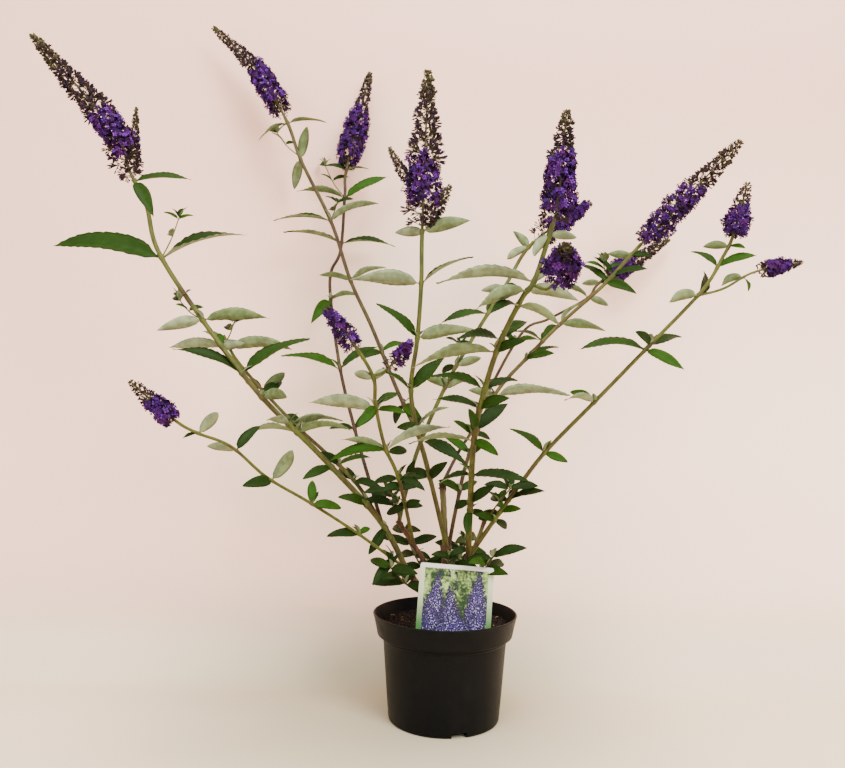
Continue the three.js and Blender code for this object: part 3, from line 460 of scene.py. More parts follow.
def capped_tube(pile, rings, sides, radius_at, tone_at, ends=(True, True)):
    """A closed tube; radius_at(level, angle) and tone_at(level, corner) shape and colour it."""
    angles = np.arange(sides) * 2 * math.pi / sides
    vertices = []
    for level, (centre, _, normal, side) in enumerate(rings):
        for angle in angles:
            radius = radius_at(level, angle)
            vertices.append(centre + normal * radius * math.cos(angle) + side * radius * math.sin(angle))
    faces = tube_faces(len(rings), sides)
    tones = [tone_at(*divmod(index, sides)) for index in range(len(faces))]
    pile.add(vertices, faces, tones)
    last = len(rings) - 1
    for wanted, level, order in zip(ends, (0, last), (-1, 1)):
        if wanted:
            ring = vertices[level * sides:(level + 1) * sides]
            tone = tone_at(min(level, last - 1), 0)
            pile.add([*ring, np.mean(ring, axis=0)], lid_faces(sides, order), tone)


# ---------------------------------------------------------------- finishes
def srgb(red, green, blue):
    """A screen colour as the linear colour that shaders use."""
    parts = [value / 255 for value in (red, green, blue)]
    return tuple(p / 12.92 if p <= 0.04045 else ((p + 0.055) / 1.055) ** 2.4 for p in parts) + (1,)


class Value:
    """A socket in a material; arithmetic on it adds Math nodes."""

    def __init__(self, shader, socket):
        self.shader, self.socket = shader, socket

    def math(self, operation, first, second):
        return self.shader.node("ShaderNodeMath", {"operation": operation}, {0: first, 1: second})

    def __add__(self, other):
        return self.math("ADD", self, other)

    def __sub__(self, other):
        return self.math("SUBTRACT", self, other)

    def __mul__(self, other):
        return self.math("MULTIPLY", self, other)

    def __pow__(self, other):
        return self.math("POWER", self, other)

    def __radd__(self, other):
        return self.math("ADD", other, self)

    def __rsub__(self, other):
        return self.math("SUBTRACT", other, self)

    def __rmul__(self, other):
        return self.math("MULTIPLY", other, self)

    def __rpow__(self, other):
        return self.math("POWER", other, self)

    def __abs__(self):
        return self.shader.node("ShaderNodeMath", {"operation": "ABSOLUTE"}, {0: self})

    def between(self, low, high):
        """0 below low and 1 above high, smooth between."""
        settings = {"interpolation_type": "SMOOTHSTEP"}
        return self.shader.node("ShaderNodeMapRange", settings, {0: self, 1: low, 2: high})


class Shader:
    """A material under construction; `node` adds any node."""

    def __init__(self, name, roughness, specular=0.4, **sockets):
        self.material = bpy.data.materials.new(name)
        self.material.use_nodes = True
        self.tree = self.material.node_tree
        self.surface = self.tree.nodes["Principled BSDF"]
        self.surface.inputs["Roughness"].default_value = roughness
        self.surface.inputs["Specular IOR Level"].default_value = specular
        for socket, value in sockets.items():
            self.surface.inputs[socket.replace("_", " ")].default_value = value
        self.place = self.node("ShaderNodeTexCoord", output="Object")

    def feed(self, socket, value):
        if isinstance(value, Value):
            self.tree.links.new(value.socket, socket)
        else:
            socket.default_value = value

    def node(self, kind, settings=None, sockets=None, output=0):
        made = self.tree.nodes.new(kind)
        for name, value in (settings or {}).items():
            setattr(made, name, value)
        for key, value in (sockets or {}).items():
            self.feed(made.inputs[key], value)
        return Value(self, made.outputs[output])

    def vector(self, operation, first, second, output=0):
        """Vector maths; a result that is a number has output 1."""
        return self.node("ShaderNodeVectorMath", {"operation": operation}, {0: first, 1: second}, output)

    def part(self, vector, axis=0):
        """One of the three numbers of a place or a colour."""
        return self.node("ShaderNodeSeparateXYZ", None, {"Vector": vector}, axis)

    def noise(self, scale, detail=3, stretch=None):
        """Noise from 0 to 1 with a scale in 1/m; stretch scales the place along each axis first."""
        place = self.vector("MULTIPLY", self.place, stretch) if stretch else self.place
        return self.node("ShaderNodeTexNoise", None, {"Vector": place, "Scale": scale, "Detail": detail})

    def blend(self, first, second, factor):
        """A colour between two others."""
        settings = {"data_type": "RGBA", "clamp_factor": True}
        return self.node("ShaderNodeMix", settings, {0: factor, 6: first, 7: second}, 2)

    def colour(self, value):
        self.feed(self.surface.inputs["Base Color"], value)

    def roughness(self, value):
        self.feed(self.surface.inputs["Roughness"], value)

    def relief(self, height, depth):
        """Bumps of a depth in metres."""
        bump = self.node("ShaderNodeBump", None, {"Strength": 0.6, "Distance": depth, "Height": height})
        self.feed(self.surface.inputs["Normal"], bump)


def shaded(colour, share):
    """A colour made darker, or lighter where the share is above 1."""
    return tuple(share * part for part in colour[:3]) + (1,)


def leaf_finish(name, colour, roughness, shade=0.82, light=1.0):
    """A plain leaf colour with faint mottling and a fine grain."""
    shader = Shader(name, roughness, 0.05)
    mottling = shader.noise(90, 3).between(0.35, 0.65)
    shader.colour(shader.blend(shaded(colour, shade), shaded(colour, light), mottling))
    shader.relief(shader.noise(900, 2), 0.0002)
    return shader.material


def petal_finish(name, colour):
    shader = Shader(name, 0.75, 0.1)
    shader.colour(shader.blend(colour, shaded(colour, 1.25), shader.noise(400, 2).between(0.4, 0.7)))
    return shader.material


def bark_finish(name, colour, deep, grain=1.0):
    """Streaks along upright stems, between two colours, with lenticel-like relief."""
    shader = Shader(name, 0.62, 0.3)
    streaks = shader.noise(260, 4, (1, 1, 0.18))
    patches = shader.noise(28, 2)
    shader.colour(shader.blend(colour, deep, (streaks * 0.6 + patches * 0.4).between(0.42, 0.62)))
    shader.roughness(0.5 + 0.3 * patches)
    shader.relief(streaks, 0.0005 * grain)
    return shader.material


def plastic_finish():
    """Black injection-moulded plastic: fine grain, a little dust, and faint vertical drag lines that are
    partly a painted sheen.
    """
    shader = Shader("pot_plastic", 0.42, 0.08)
    dust = shader.noise(34, 4).between(0.5, 0.85)
    drag_and_sheen = shader.noise(120, 3, (1, 1, 0.06))
    # Dust and the drag lines lighten the colour; the lighter drag lines are partly a painted sheen.
    shader.colour(shader.blend(srgb(6, 7, 8), srgb(24, 24, 25), dust * 0.4 + drag_and_sheen * 0.12))
    shader.roughness(0.36 + 0.16 * drag_and_sheen + 0.12 * dust)
    shader.relief(shader.noise(1400, 3) + drag_and_sheen * 0.4, 0.00025)
    return shader.material


def crumb_finish(name, colour, deep):
    shader = Shader(name, 0.95, 0.15)
    shader.colour(shader.blend(deep, colour, shader.noise(260, 4).between(0.35, 0.65)))
    shader.relief(shader.noise(700, 5), 0.0012)
    return shader.material


def plain_finish(name, colour, roughness=0.8):
    shader = Shader(name, roughness, 0.2)
    shader.colour(shader.blend(colour, shaded(colour, 0.8), shader.noise(500, 2)))
    return shader.material


# Flower spikes in the card's picture: [middle, lean, half width, foot, tip], in metres.
PICTURE_SPIKES = [
    (-0.03, 0.1, 0.016, 0.01, 0.082), (0.026, 0.05, 0.015, 0.02, 0.088), (-0.002, -0.1, 0.017, 0, 0.066),
    (-0.02, -0.5, 0.02, -0.02, 0.045), (0.022, 0.4, 0.02, -0.02, 0.05), (0, 0, 0.045, -0.03, 0.034),
]
SPIKE_TAPER = 0.7
RAGGED_EDGE = 0.018
SPIKE_SHADING, SPIKE_BORDER = (-0.002, 0.008), (-0.002, 0.001)
FLORETS_PER_METRE = 620
# How far the side bands and the top border reach in from the card's edges: start and end of a soft change.
CARD_BAND = (0.0068, 0.0062)
CARD_BORDER = (0.0056, 0.0052)
CARD = {
    "border": srgb(201, 198, 193), "back": srgb(196, 198, 186),
    "band_foot": srgb(58, 103, 48), "band_top": srgb(183, 193, 162),
    "leaf_dark": srgb(24, 48, 18), "leaf_light": srgb(152, 180, 104),
    "petal": srgb(94, 78, 152), "petal_gap": srgb(14, 10, 32), "petal_light": srgb(196, 188, 218),
    "spike_edge": srgb(22, 18, 36),
}


def card_picture(shader, across, up):
    """Violet blossom on blurred foliage; each spike narrows to its tip and is dark at its edge."""
    flat = shader.node("ShaderNodeCombineXYZ", None, {0: across, 1: up})

    def blur(scale, detail):
        sockets = {"Vector": flat, "Scale": scale, "Detail": detail}
        return shader.node("ShaderNodeTexNoise", {"noise_dimensions": "2D"}, sockets)

    def cells(output):
        sockets = {"Vector": flat, "Scale": FLORETS_PER_METRE}
        return shader.node("ShaderNodeTexVoronoi", {"voronoi_dimensions": "2D"}, sockets, output)

    ragged = blur(260, 4)
    foliage = 0.6 * blur(60, 2) + 0.4 * blur(300, 3)
    middles, shade = cells(0), shader.part(cells(1))
    petals = shader.blend(CARD["petal"], CARD["petal_gap"], (middles + 0.6 * ragged).between(0.42, 0.8))
    petals = shader.blend(petals, CARD["petal_light"], (shade - middles).between(0.42, 0.8))
    picture = shader.blend(CARD["leaf_dark"], CARD["leaf_light"], foliage.between(0.38, 0.68))
    for middle, lean, width, foot, tip in PICTURE_SPIKES:
        aside = abs(across - middle - up * lean)
        narrowing = (1 - up.between(foot, tip)) ** SPIKE_TAPER
        reach = width * narrowing + RAGGED_EDGE * ragged - RAGGED_EDGE / 2 - aside
        blossom = shader.blend(CARD["spike_edge"], petals, reach.between(*SPIKE_SHADING))
        picture = shader.blend(picture, blossom, reach.between(*SPIKE_BORDER))
    return picture


def card_finish():
    """A printed bed card: a picture with green side bands, a pale top border and a plain back."""
    shader = Shader("label_print", 0.38, 0.3)
    lean, tilt = math.radians(90 + LABEL["lean"]), math.radians(LABEL["tilt"])
    turn = Matrix.Rotation(lean, 3, "X") @ Matrix.Rotation(tilt, 3, "Z")
    local = shader.vector("SUBTRACT", shader.place, tuple(part * MM for part in LABEL["foot"]))
    across, up, out = [shader.vector("DOT_PRODUCT", local, tuple(turn @ Vector(axis)), 1)
                       for axis in ((1, 0, 0), (0, 1, 0), (0, 0, 1))]
    half, height = LABEL["width"] * MM / 2, LABEL["height"] * MM
    band = shader.blend(CARD["band_foot"], CARD["band_top"], (up * (1 / height)).between(0.05, 0.8))
    picture = card_picture(shader, across, up)
    inside = shader.blend(picture, band, abs(across).between(*(half - inset for inset in CARD_BAND)))
    border = up.between(*(height - inset for inset in CARD_BORDER))
    front = shader.blend(inside, CARD["border"], border)
    shader.colour(shader.blend(CARD["back"], front, out.between(0, 0.0002)))
    return shader.material


LEAF_UPPER = [
    leaf_finish("leaf_upper_mid", srgb(31, 53, 11), 0.5),
    leaf_finish("leaf_upper_deep_and_painted_shade", srgb(26, 44, 12), 0.48),
    leaf_finish("leaf_upper_fresh", srgb(37, 66, 11), 0.52),
]
UNDERSIDE_MOTTLING = (0.72, 1.12)
LEAF_UNDER = [
    leaf_finish("leaf_under_sage", srgb(109, 123, 85), 0.9, *UNDERSIDE_MOTTLING),
    leaf_finish("leaf_under_pale", srgb(122, 133, 99), 0.92, *UNDERSIDE_MOTTLING),
    leaf_finish("leaf_under_dull", srgb(97, 113, 73), 0.88, *UNDERSIDE_MOTTLING),
]
STEMS = [
    bark_finish("cane_green", srgb(72, 78, 18), srgb(55, 61, 14)),
    bark_finish("cane_olive", srgb(70, 60, 16), srgb(52, 45, 13)),
    bark_finish("cane_brown", srgb(60, 38, 14), srgb(43, 26, 9)),
    bark_finish("cane_dark", srgb(45, 28, 13), srgb(31, 18, 9)),
]
WOOD = [
    bark_finish("crown_bark", srgb(82, 51, 26), srgb(43, 25, 13), 2.4),
    bark_finish("crown_cut", srgb(52, 35, 23), srgb(25, 16, 10), 3),
    bark_finish("stub_olive", srgb(87, 82, 42), srgb(68, 59, 31), 1.4),
]
PETALS = [
    petal_finish("petal_violet", srgb(54, 16, 77)),
    petal_finish("petal_blue", srgb(45, 15, 80)),
    petal_finish("petal_lilac", srgb(77, 32, 113)),
    petal_finish("petal_purple", srgb(62, 18, 75)),
    petal_finish("petal_deep_and_painted_shade", srgb(33, 12, 48)),
    petal_finish("petal_tube", srgb(41, 17, 48)),
]
BUDS = [
    plain_finish("bud_black", srgb(34, 21, 28)),
    plain_finish("bud_purple", srgb(45, 25, 47)),
    plain_finish("bud_brown", srgb(51, 38, 30)),
    plain_finish("bud_olive", srgb(77, 75, 44)),
    plain_finish("stalk_olive", srgb(86, 83, 52)),
    plain_finish("stalk_brown", srgb(65, 52, 39)),
]
SOIL = [
    crumb_finish("soil_dark", srgb(27, 21, 17), srgb(15, 11, 9)),
    crumb_finish("soil_brown", srgb(42, 32, 24), srgb(25, 18, 14)),
    crumb_finish("soil_red", srgb(56, 37, 27), srgb(33, 22, 17)),
    crumb_finish("soil_straw", srgb(140, 120, 84), srgb(108, 88, 58)),
]


# ---------------------------------------------------------------- leaves
# Powers that set where a leaf is widest and how full it is, for a pointed and for a blunt one.
WIDEST_POWER = (0.78, 0.95)
FULL_POWER = (0.95, 0.62)
# Details of a leaf, as shares of its length.
LEAF_STALK = {"end": 0.03, "flare": 0.09, "foot": 0.011, "tip": 0.001}
LEAF_TEETH = {"depth": 0.04, "first": 0.12, "last": 0.95}
LEAF_BEND = 0.04
LEAF_DROOP = {"usual": 0.012, "spread": 0.03}
LEAF_RIPPLE = {"height": 0.012, "waves": 1.4}
LEAF_VEINS = {"height": 0.005, "slant": 9, "stations": 4, "clear_of_midrib": 0.1}
LEAF_CREASE = {"softness": 0.0002, "drop": 0.014}
LEAF_THICKNESS = {"blade": 0.004, "midrib": 0.016, "midrib_width": 0.2}


def leaf_shape(variant, stations, columns, breadth, blunt):
    """A blade of unit length along x, with teeth, veins and a midrib; its upper faces are kind 0."""
    shares = np.linspace(0, 1, stations + 1)
    sides = np.linspace(-1, 1, columns + 1)
    share, side = np.meshgrid(shares, sides, indexing="ij")
    outline = np.sin(np.pi * share ** mix(*WIDEST_POWER, blunt)).clip(0) ** mix(*FULL_POWER, blunt)
    blade = np.clip((share - LEAF_STALK["end"]) / LEAF_STALK["flare"], 0, 1)
    stalk = LEAF_STALK["foot"] * (1 - share) ** 2 + LEAF_STALK["tip"]
    reach = np.maximum(breadth / 2 * outline * blade, stalk)
    toothed = (share > LEAF_TEETH["first"]) * (share < LEAF_TEETH["last"])
    teeth = LEAF_TEETH["depth"] * (np.arange(stations + 1) % 2)[:, None] * toothed
    across = side * reach * (1 + teeth * np.abs(side) ** 4)
    bend = spread(variant, 1, LEAF_BEND)
    droop = LEAF_DROOP["usual"] + spread(variant, 2, LEAF_DROOP["spread"])
    ripple = LEAF_RIPPLE["height"] * np.sin(2 * np.pi * (LEAF_RIPPLE["waves"] * share + chance(variant, 3)))
    vein_turns = stations / LEAF_VEINS["stations"] * share - LEAF_VEINS["slant"] * np.abs(across)
    veins = LEAF_VEINS["height"] * np.cos(2 * np.pi * vein_turns)
    rise = (LEAF_ARCH * 4 * share * (1 - share) - droop * share ** 3
            + LEAF_FOLD * (np.sqrt(across ** 2 + LEAF_CREASE["softness"]) - LEAF_CREASE["drop"])
            + ripple * side + veins * blade * (np.abs(side) > LEAF_VEINS["clear_of_midrib"]))
    upper = np.stack([share, across + bend * 4 * share * (1 - share), rise], axis=-1)
    middle = np.exp(-(side / LEAF_THICKNESS["midrib_width"]) ** 2)
    under = upper.copy()
    under[..., 2] -= LEAF_THICKNESS["blade"] + LEAF_THICKNESS["midrib"] * middle * (1 - share)
    top = np.arange(share.size).reshape(share.shape)
    low = top.copy()
    inner = np.s_[:-1, 1:-1]
    low[inner] = share.size + np.arange(low[inner].size).reshape(low[inner].shape)

    def quads(index):
        return np.stack([index[:-1, :-1], index[1:, :-1], index[1:, 1:], index[:-1, 1:]], axis=-1)

    turned_over = quads(low)[..., [0, 3, 2, 1]]  # so that both faces fold along the same diagonals
    faces = np.concatenate([quads(top).reshape(-1, 4), turned_over.reshape(-1, 4)])
    kinds = np.repeat([0, 1], len(faces) // 2)
    vertices = np.concatenate([upper.reshape(-1, 3), under[inner].reshape(-1, 3)])
    return Shape(vertices, (faces, kinds))


VARIANTS = 5
# stations, columns, breadth as a share of the length, and how blunt the tip is
LEAF_SIZES = {"long": (40, 6, 0.26, 0), "short": (24, 4, 0.34, 0.8), "tiny": (10, 2, 0.36, 0.3)}
LEAF_SHAPES = {size: [leaf_shape(variant, *grid) for variant in range(VARIANTS)]
               for size, grid in LEAF_SIZES.items()}
LONG_LEAF, SHORT_LEAF = 55, 19  # lengths from which a leaf isn't short or tiny
# Low in the bush most leaves take the deep green, as painted shade.
SHADED_BELOW = 340  # height under which most leaves are dark
DEEP_IN_SHADE, DEEP_IN_LIGHT = 0.75, 0.25  # shares of dark leaves
MID_GREEN = 0.72  # share of mid green ones among the others


def leaf_frame(turn, length, lift, roll):
    """The blade's directions from root to tip, across and above, each as long as the leaf."""
    turn, lift = math.radians(turn), math.radians(lift)
    heading = np.array([math.cos(turn), math.sin(turn), 0])
    along = np.array([*(heading[:2] * math.cos(lift)), math.sin(lift)])
    tilt = math.radians(roll) * (-1 if heading[0] < 0 else 1)
    across = turned(np.array([-heading[1], heading[0], 0]), along, tilt)
    return np.array([along, across, np.cross(along, across)]) * length


class Foliage:
    """Leaves gathered by size, to be added to one object."""

    def __init__(self):
        self.leaves = {(size, variant): [] for size in LEAF_SHAPES for variant in range(VARIANTS)}
        self.made = 0

    def add(self, root, turn, length, lift, roll):
        self.made += 1
        size = "long" if length >= LONG_LEAF else "short" if length >= SHORT_LEAF else "tiny"
        variant = int(chance(self.made, 5) * VARIANTS)
        deep = DEEP_IN_SHADE if root[2] < SHADED_BELOW else DEEP_IN_LIGHT
        upper = 1 if chance(self.made, 7) < deep else 2 * (chance(self.made, 8) > MID_GREEN)
        under = len(LEAF_UPPER) + int(chance(self.made, 9) * len(LEAF_UNDER))
        directions = leaf_frame(turn, length, lift, roll)
        if size != "tiny":
            directions[1] *= (LEAF_WIDTH["base"] / length + LEAF_WIDTH["growth"]) / LEAF_SIZES[size][2]
        self.leaves[size, variant].append((directions, root, (upper, under)))

    def build(self, name, nodes):
        pile = Pile()
        for (size, variant), found in self.leaves.items():
            if found:
                pile.scatter(LEAF_SHAPES[size][variant], *zip(*found))
        return pile.build(name, LEAF_UPPER + LEAF_UNDER, nodes, "leaf")


TUFT = {"length": (10, 22), "turn": (24, 44), "lift": (35, 60), "roll": 15}


def tuft(foliage, root, turn, seed):
    """Two young leaves in the axil of a grown one."""
    for twin in (-1, 1):
        length = mix(*TUFT["length"], chance(seed, twin))
        aside = mix(*TUFT["turn"], chance(seed, 3))
        foliage.add(root, turn + twin * aside, length, mix(*TUFT["lift"], chance(seed, 4)), TUFT["roll"])


# ---------------------------------------------------------------- canes, twigs and shoots
STEM_SIDES = 12
STEM_STEP = 3
NODE_SWELLING, NODE_LENGTH = 0.32, 2.6
BARK = 0.45  # skin and down over the plain limb's wood
EDGE_RISE, ROUGHNESS = 0.05, 0.025  # of the stem's four edges and of its skin, as shares of its radius
STREAKS = 0.4
BROWN_TONES = 3.2  # places in STEMS from a green to a wholly brown stem

LEAFLESS_END = 2
TUFTED = {"below": 0.75, "share": 0.6}  # how far up a cane tufts grow, and in how many axils
SHOOT = {
    "radii": (1, 0.7), "bend": 0.5, "rest": 0.4, "rise": 0.15,
    "pairs": (0.55, 0.96), "leaf": 26, "sizes": (0.75, 1.25), "turn": 60, "lift": 20, "roll": 40,
}
COMPANION_BEND = 0.12
IN_BUD = (0, 0)
SIDE_RADII = (0.8, 0.65)  # of a side branch at its ends, as shares of its cane's end radius
SIDE_BROWN = (0.1, 0.1)
BASAL_RADII = (1.6, 1)
# The last pair's place, the part of the shoot with leaves, and how much its leaves turn and lift.
BASAL_LEAVES = {
    "last": 0.97, "stretch": 0.62, "sizes": (0.85, 1.25), "turn": 30, "lift": (20, -10), "roll": 50,
}
BASAL_SEED = 300


def stem(pile, curve, end, radii, knots, brown, seed):
    """A four-angled stem with swollen nodes; brown is how brown it is at its foot and its end."""
    steps = max(6, round(end / STEM_STEP))
    distances = np.linspace(0, end, steps + 1)
    rings = curve.rings(distances)

    def radius_at(level, angle):
        here = distances[level]
        swell = sum(math.exp(-((here - knot) / NODE_LENGTH) ** 2) for knot in knots)
        ridge = EDGE_RISE * math.cos(4 * angle) + spread(seed + level, round(angle * 3), ROUGHNESS)
        return (mix(*radii, here / curve.length) + BARK) * (1 + ridge + NODE_SWELLING * min(swell, 1))

    def tone_at(level, corner):
        share = distances[min(level, steps)] / end
        streak = STREAKS * (chance(seed + corner // 2, level // 9) - 0.5)
        return int(np.clip(BROWN_TONES * (mix(*brown, share) + streak), 0, len(STEMS) - 1))

    capped_tube(pile, rings, STEM_SIDES, radius_at, tone_at)


def twig(pile, curve, radii, tone, sides=6, steps=8):
    """A plain thin tapering twig."""
    rings = curve.rings(np.linspace(0, curve.length, steps + 1))
    capped_tube(pile, rings, sides, lambda level, angle: mix(*radii, level / steps),
                lambda level, corner: tone)


def side_shoot(pile, foliage, seed, root, turn, length, lift):
    """A short side shoot that bends upwards, with two leaf pairs."""
    around, climb = math.radians(turn), math.radians(lift)
    heading = unit(np.array([math.cos(around), math.sin(around), math.tan(climb)]))
    bend = root + heading * length * SHOOT["bend"]
    tip = bend + heading * length * SHOOT["rest"] + np.array([0, 0, length * SHOOT["rise"]])
    curve = Curve([root, bend, tip])
    twig(pile, curve, SHOOT["radii"], 0)
    for pair, share in enumerate(SHOOT["pairs"]):
        for half in (0, 180):
            size = SHOOT["leaf"] * mix(*SHOOT["sizes"], chance(seed + pair, half))
            aside = turn + SHOOT["turn"] + 90 * pair + half
            foliage.add(curve.at(share * curve.length), aside, size, SHOOT["lift"], SHOOT["roll"])
    tuft(foliage, tip, turn, seed)
    tuft(foliage, tip, turn + 90, seed + 1)


def habit(made):
    """How a spike departs from the usual one, as its cane's table says."""
    return {key: made[key] for key in ("fullness", "spacing", "bud_reach") if key in made}


def companion(spikes, root, small, seed):
    """A small spike in bud beside a cane's own."""
    tip = root + np.array(small["to"])
    bend = (root + tip) / 2 + np.array([*small["to"][:2], 0]) * COMPANION_BEND
    branch = Curve([root, bend, tip])
    spikes.spike(branch, [branch.length, small["radius"]], IN_BUD, seed)


def side_branch(pile, foliage, spikes, made, curve, index):
    """A branch of a cane, with a flower spike of its own."""
    side = made["side"]
    leaves = side.get("leaves", [])
    branch = Curve([curve.at(side["from"]), *side["route"]])
    radii = [made["radii"][1] * share for share in SIDE_RADII]
    knots = [at for at, *_ in leaves]
    stem(pile, branch, branch.length - side["spike"][0], radii, knots, SIDE_BROWN, index)
    for at, *pair in leaves:
        for leaf in pair:
            foliage.add(branch.at(at), *leaf)
    spikes.spike(branch, side["spike"], side["bloom"], 10 * index + 5, **habit(side))


def cane(pile, foliage, spikes, name, index):
    """One whole cane: stem, leaves, shoots, flower spikes and side branch."""
    made = CANES[name]
    curve = Curve(made["route"])
    end = curve.length - (made["spike"][0] if made["spike"] else 0)
    knots = [at for at, *_ in made["leaves"]]
    stem(pile, curve, end, made["radii"], knots, made["brown"], 20 * index)
    for at, *pair in made["leaves"]:
        root = curve.at(min(at, end - LEAFLESS_END))
        for half, leaf in enumerate(pair):
            foliage.add(root, *leaf)
            if at < TUFTED["below"] * end and chance(index + at, half) < TUFTED["share"]:
                tuft(foliage, root, leaf[0], index + at + half)
    for number, (at, *shoot) in enumerate(made["shoots"]):
        root = curve.at(min(at, end - LEAFLESS_END))
        side_shoot(pile, foliage, 20 * index + number, root, *shoot)
    if made["spike"]:
        spikes.spike(curve, made["spike"], made["bloom"], 10 * index, **habit(made))
    for number, small in enumerate(made.get("companions", [])):
        companion(spikes, curve.at(end + small["at"]), small, 10 * index + 50 + number)
    if "side" in made:
        side_branch(pile, foliage, spikes, made, curve, index)


def basal_shoot(pile, foliage, name, index):
    """A short leafy shoot from the crown."""
    shoot = BASAL[name]
    curve = Curve(shoot["route"])
    seed = BASAL_SEED + 10 * index
    twig(pile, curve, BASAL_RADII, 1, steps=14)
    for pair in range(shoot["pairs"]):
        share = BASAL_LEAVES["last"] - BASAL_LEAVES["stretch"] * pair / shoot["pairs"]
        root = curve.at(share * curve.length)
        aside = shoot["turn"] + 90 * (pair % 2) + BASAL_LEAVES["turn"] * (chance(seed, pair) - 0.5)
        for half in (0, 180):
            length = shoot["leaf"] * mix(*BASAL_LEAVES["sizes"], chance(seed + pair, half))
            lift = mix(*BASAL_LEAVES["lift"], chance(pair, seed + half))
            foliage.add(root, aside + half, length, lift, BASAL_LEAVES["roll"])
            tuft(foliage, root, aside + half + 90, seed + pair + half)


# ---------------------------------------------------------------- flower spikes
FLORET_LOBES = 4
FLORET_CUPS = (-0.7, 0.3, 1.2)
LOBE_OUTLINE = [(0.9, 0.55), (2.5, 1.65), (3.9, 1.25), (4.3, 0.3), (4.0, -0.9), (2.5, -1.6), (0.9, -0.55)]
LOBE_REACH, LOBE_WAVE = 4, 0.18
# Rings of a floret's tube, and of a bud of unit length on its stalk: [radius, height].
FLORET_TUBE = [(0.55, -6.5), (1.1, 0.1)]
BUD_OUTLINE = [(0.38, 0), (0.44, 0.56), (1.1, 0.82), (0.55, 1)]
# Florets near a cyme's hub take the deep violet, as painted shade inside the spike.
PETAL_PAINTED_SHADE, PETAL_TUBE = 4, 5  # places in PETALS
STALK_OLIVE, STALK_BROWN = 4, 5  # places in BUDS

# The cymes along a spike, from its foot up: the number of florets or buds in a full one, the angles
# between which they climb, the hub's place as a share of the reach, and the buds' tones as places in BUDS.
CYMES = {
    "old": {"full": 14, "climb": (-0.7, 0.9), "hub": 0.5, "buds": (0, 1, 2)},
    "open": {"full": 38, "climb": (-0.7, 0.9), "hub": 0.4, "buds": (0, 1, 2)},
    "bud": {"full": 27, "climb": (-0.4, 1.1), "hub": 0.42, "buds": (0, 0, 0, 1, 1, 1, 2)},
    "young": {"full": 28, "climb": (-0.2, 1.2), "hub": 0.36, "buds": (0, 2, 2, 2, 3)},
    "tip": {"full": 24, "climb": (0.2, 1.3), "hub": 0.2, "buds": (3, 3, 3, 2)},
}
USUAL_BUD_REACH = 1.15
YOUNG_FROM, TIP_FROM = 0.62, 0.9  # shares of the part above the bloom
WHORL = {
    "cymes": 4, "least": 8,  # in a whorl, and the least number of whorls
    "step": 3.6, "growth": 0.26,  # from one to the next, and how that grows with the spike's radius
    "stray": 0.3, "border": 0.045,  # how far a cyme's turn and the bloom's border stray
    "reach": (0.85, 1.1), "widening": 0.4,
    "crowding": 1.35,  # above 1 the whorls draw together towards the tip
}
# How far the rachis starts below the spike and ends below its tip, and its radii.
RACHIS = {"below": 1, "short": 2, "sides": 6, "thickest": 2, "least": 0.7, "growth": 0.07, "tip": 1}
CYME = {
    "hub_rise": 0.15, "stalk_drop": 0.35,  # shares of the step between whorls
    "stalked": 4, "stalk_radius": 0.6,  # the reach that needs a stalk
    "least": 4, "sparse": 0.2, "full_at": 20,  # how the number grows with the reach
    "fan": 1.35, "length": 0.92, "over": 1.2, "lengths": (0.8, 1.15),
    "inner": 0.3, "inner_loss": 0.4,  # share of florets or buds that stay near the hub
    "closed": 0.14,  # share of the florets still in bud
    "bud_root": 0.15, "bud_sizes": (0.75, 1.1), "bud_full_at": 14,
}
FLORET = {"tilt": 0.55, "size": 0.6, "growth": 0.26, "tones": 5, "tone_power": 1.1}
STALK_CORNERS, STALK_TAPER = (0, 2.1, 4.2), 0.7
ODD_DIRECTION = (0.31, 0.2, 0.93)  # one that no piece points along


def floret_shape(cup, sides=4):
    """A tube below a four-lobed face, in millimetres, facing +Z; cup lifts the lobes' ends."""
    vertices, lobes = [], []
    for lobe in range(FLORET_LOBES):
        turn = lobe * math.pi / 2
        first = len(vertices)
        for out, side in LOBE_OUTLINE:
            rise = cup * (out / LOBE_REACH) ** 2 + LOBE_WAVE * math.sin(3 * side + lobe)
            vertices.append((out * math.cos(turn) - side * math.sin(turn),
                             out * math.sin(turn) + side * math.cos(turn), rise))
        lobes += [(first, first + k + 1, first + k) for k in range(1, len(LOBE_OUTLINE) - 1)]
    first = len(vertices)
    vertices += turned_rings(FLORET_TUBE, sides)
    tube = tube_faces(2, sides) + first
    throat = fan_faces(first + sides, sides)
    return Shape(vertices, (lobes, [0] * len(lobes)), (tube, [1] * len(tube)), (throat, [1] * len(throat)))


def bud_shape(sides=3):
    """A club-shaped bud of unit length on its stalk, facing +Z; its bulb is kind 0."""
    faces = tube_faces(len(BUD_OUTLINE), sides)
    kinds = [int(face < sides) for face in range(len(faces))]
    tip = fan_faces((len(BUD_OUTLINE) - 1) * sides, sides)
    return Shape(turned_rings(BUD_OUTLINE, sides), (faces, kinds), (tip, [0] * len(tip)))


def facing(direction, spin):
    """Three unit directions, the last one along the given direction."""
    first = unit(np.cross(direction, ODD_DIRECTION))
    second = np.cross(direction, first)
    return np.array([first * math.cos(spin) + second * math.sin(spin),
                     second * math.cos(spin) - first * math.sin(spin), direction])


def outline_at(share):
    return float(np.interp(share, *zip(*SPIKE_OUTLINE)))


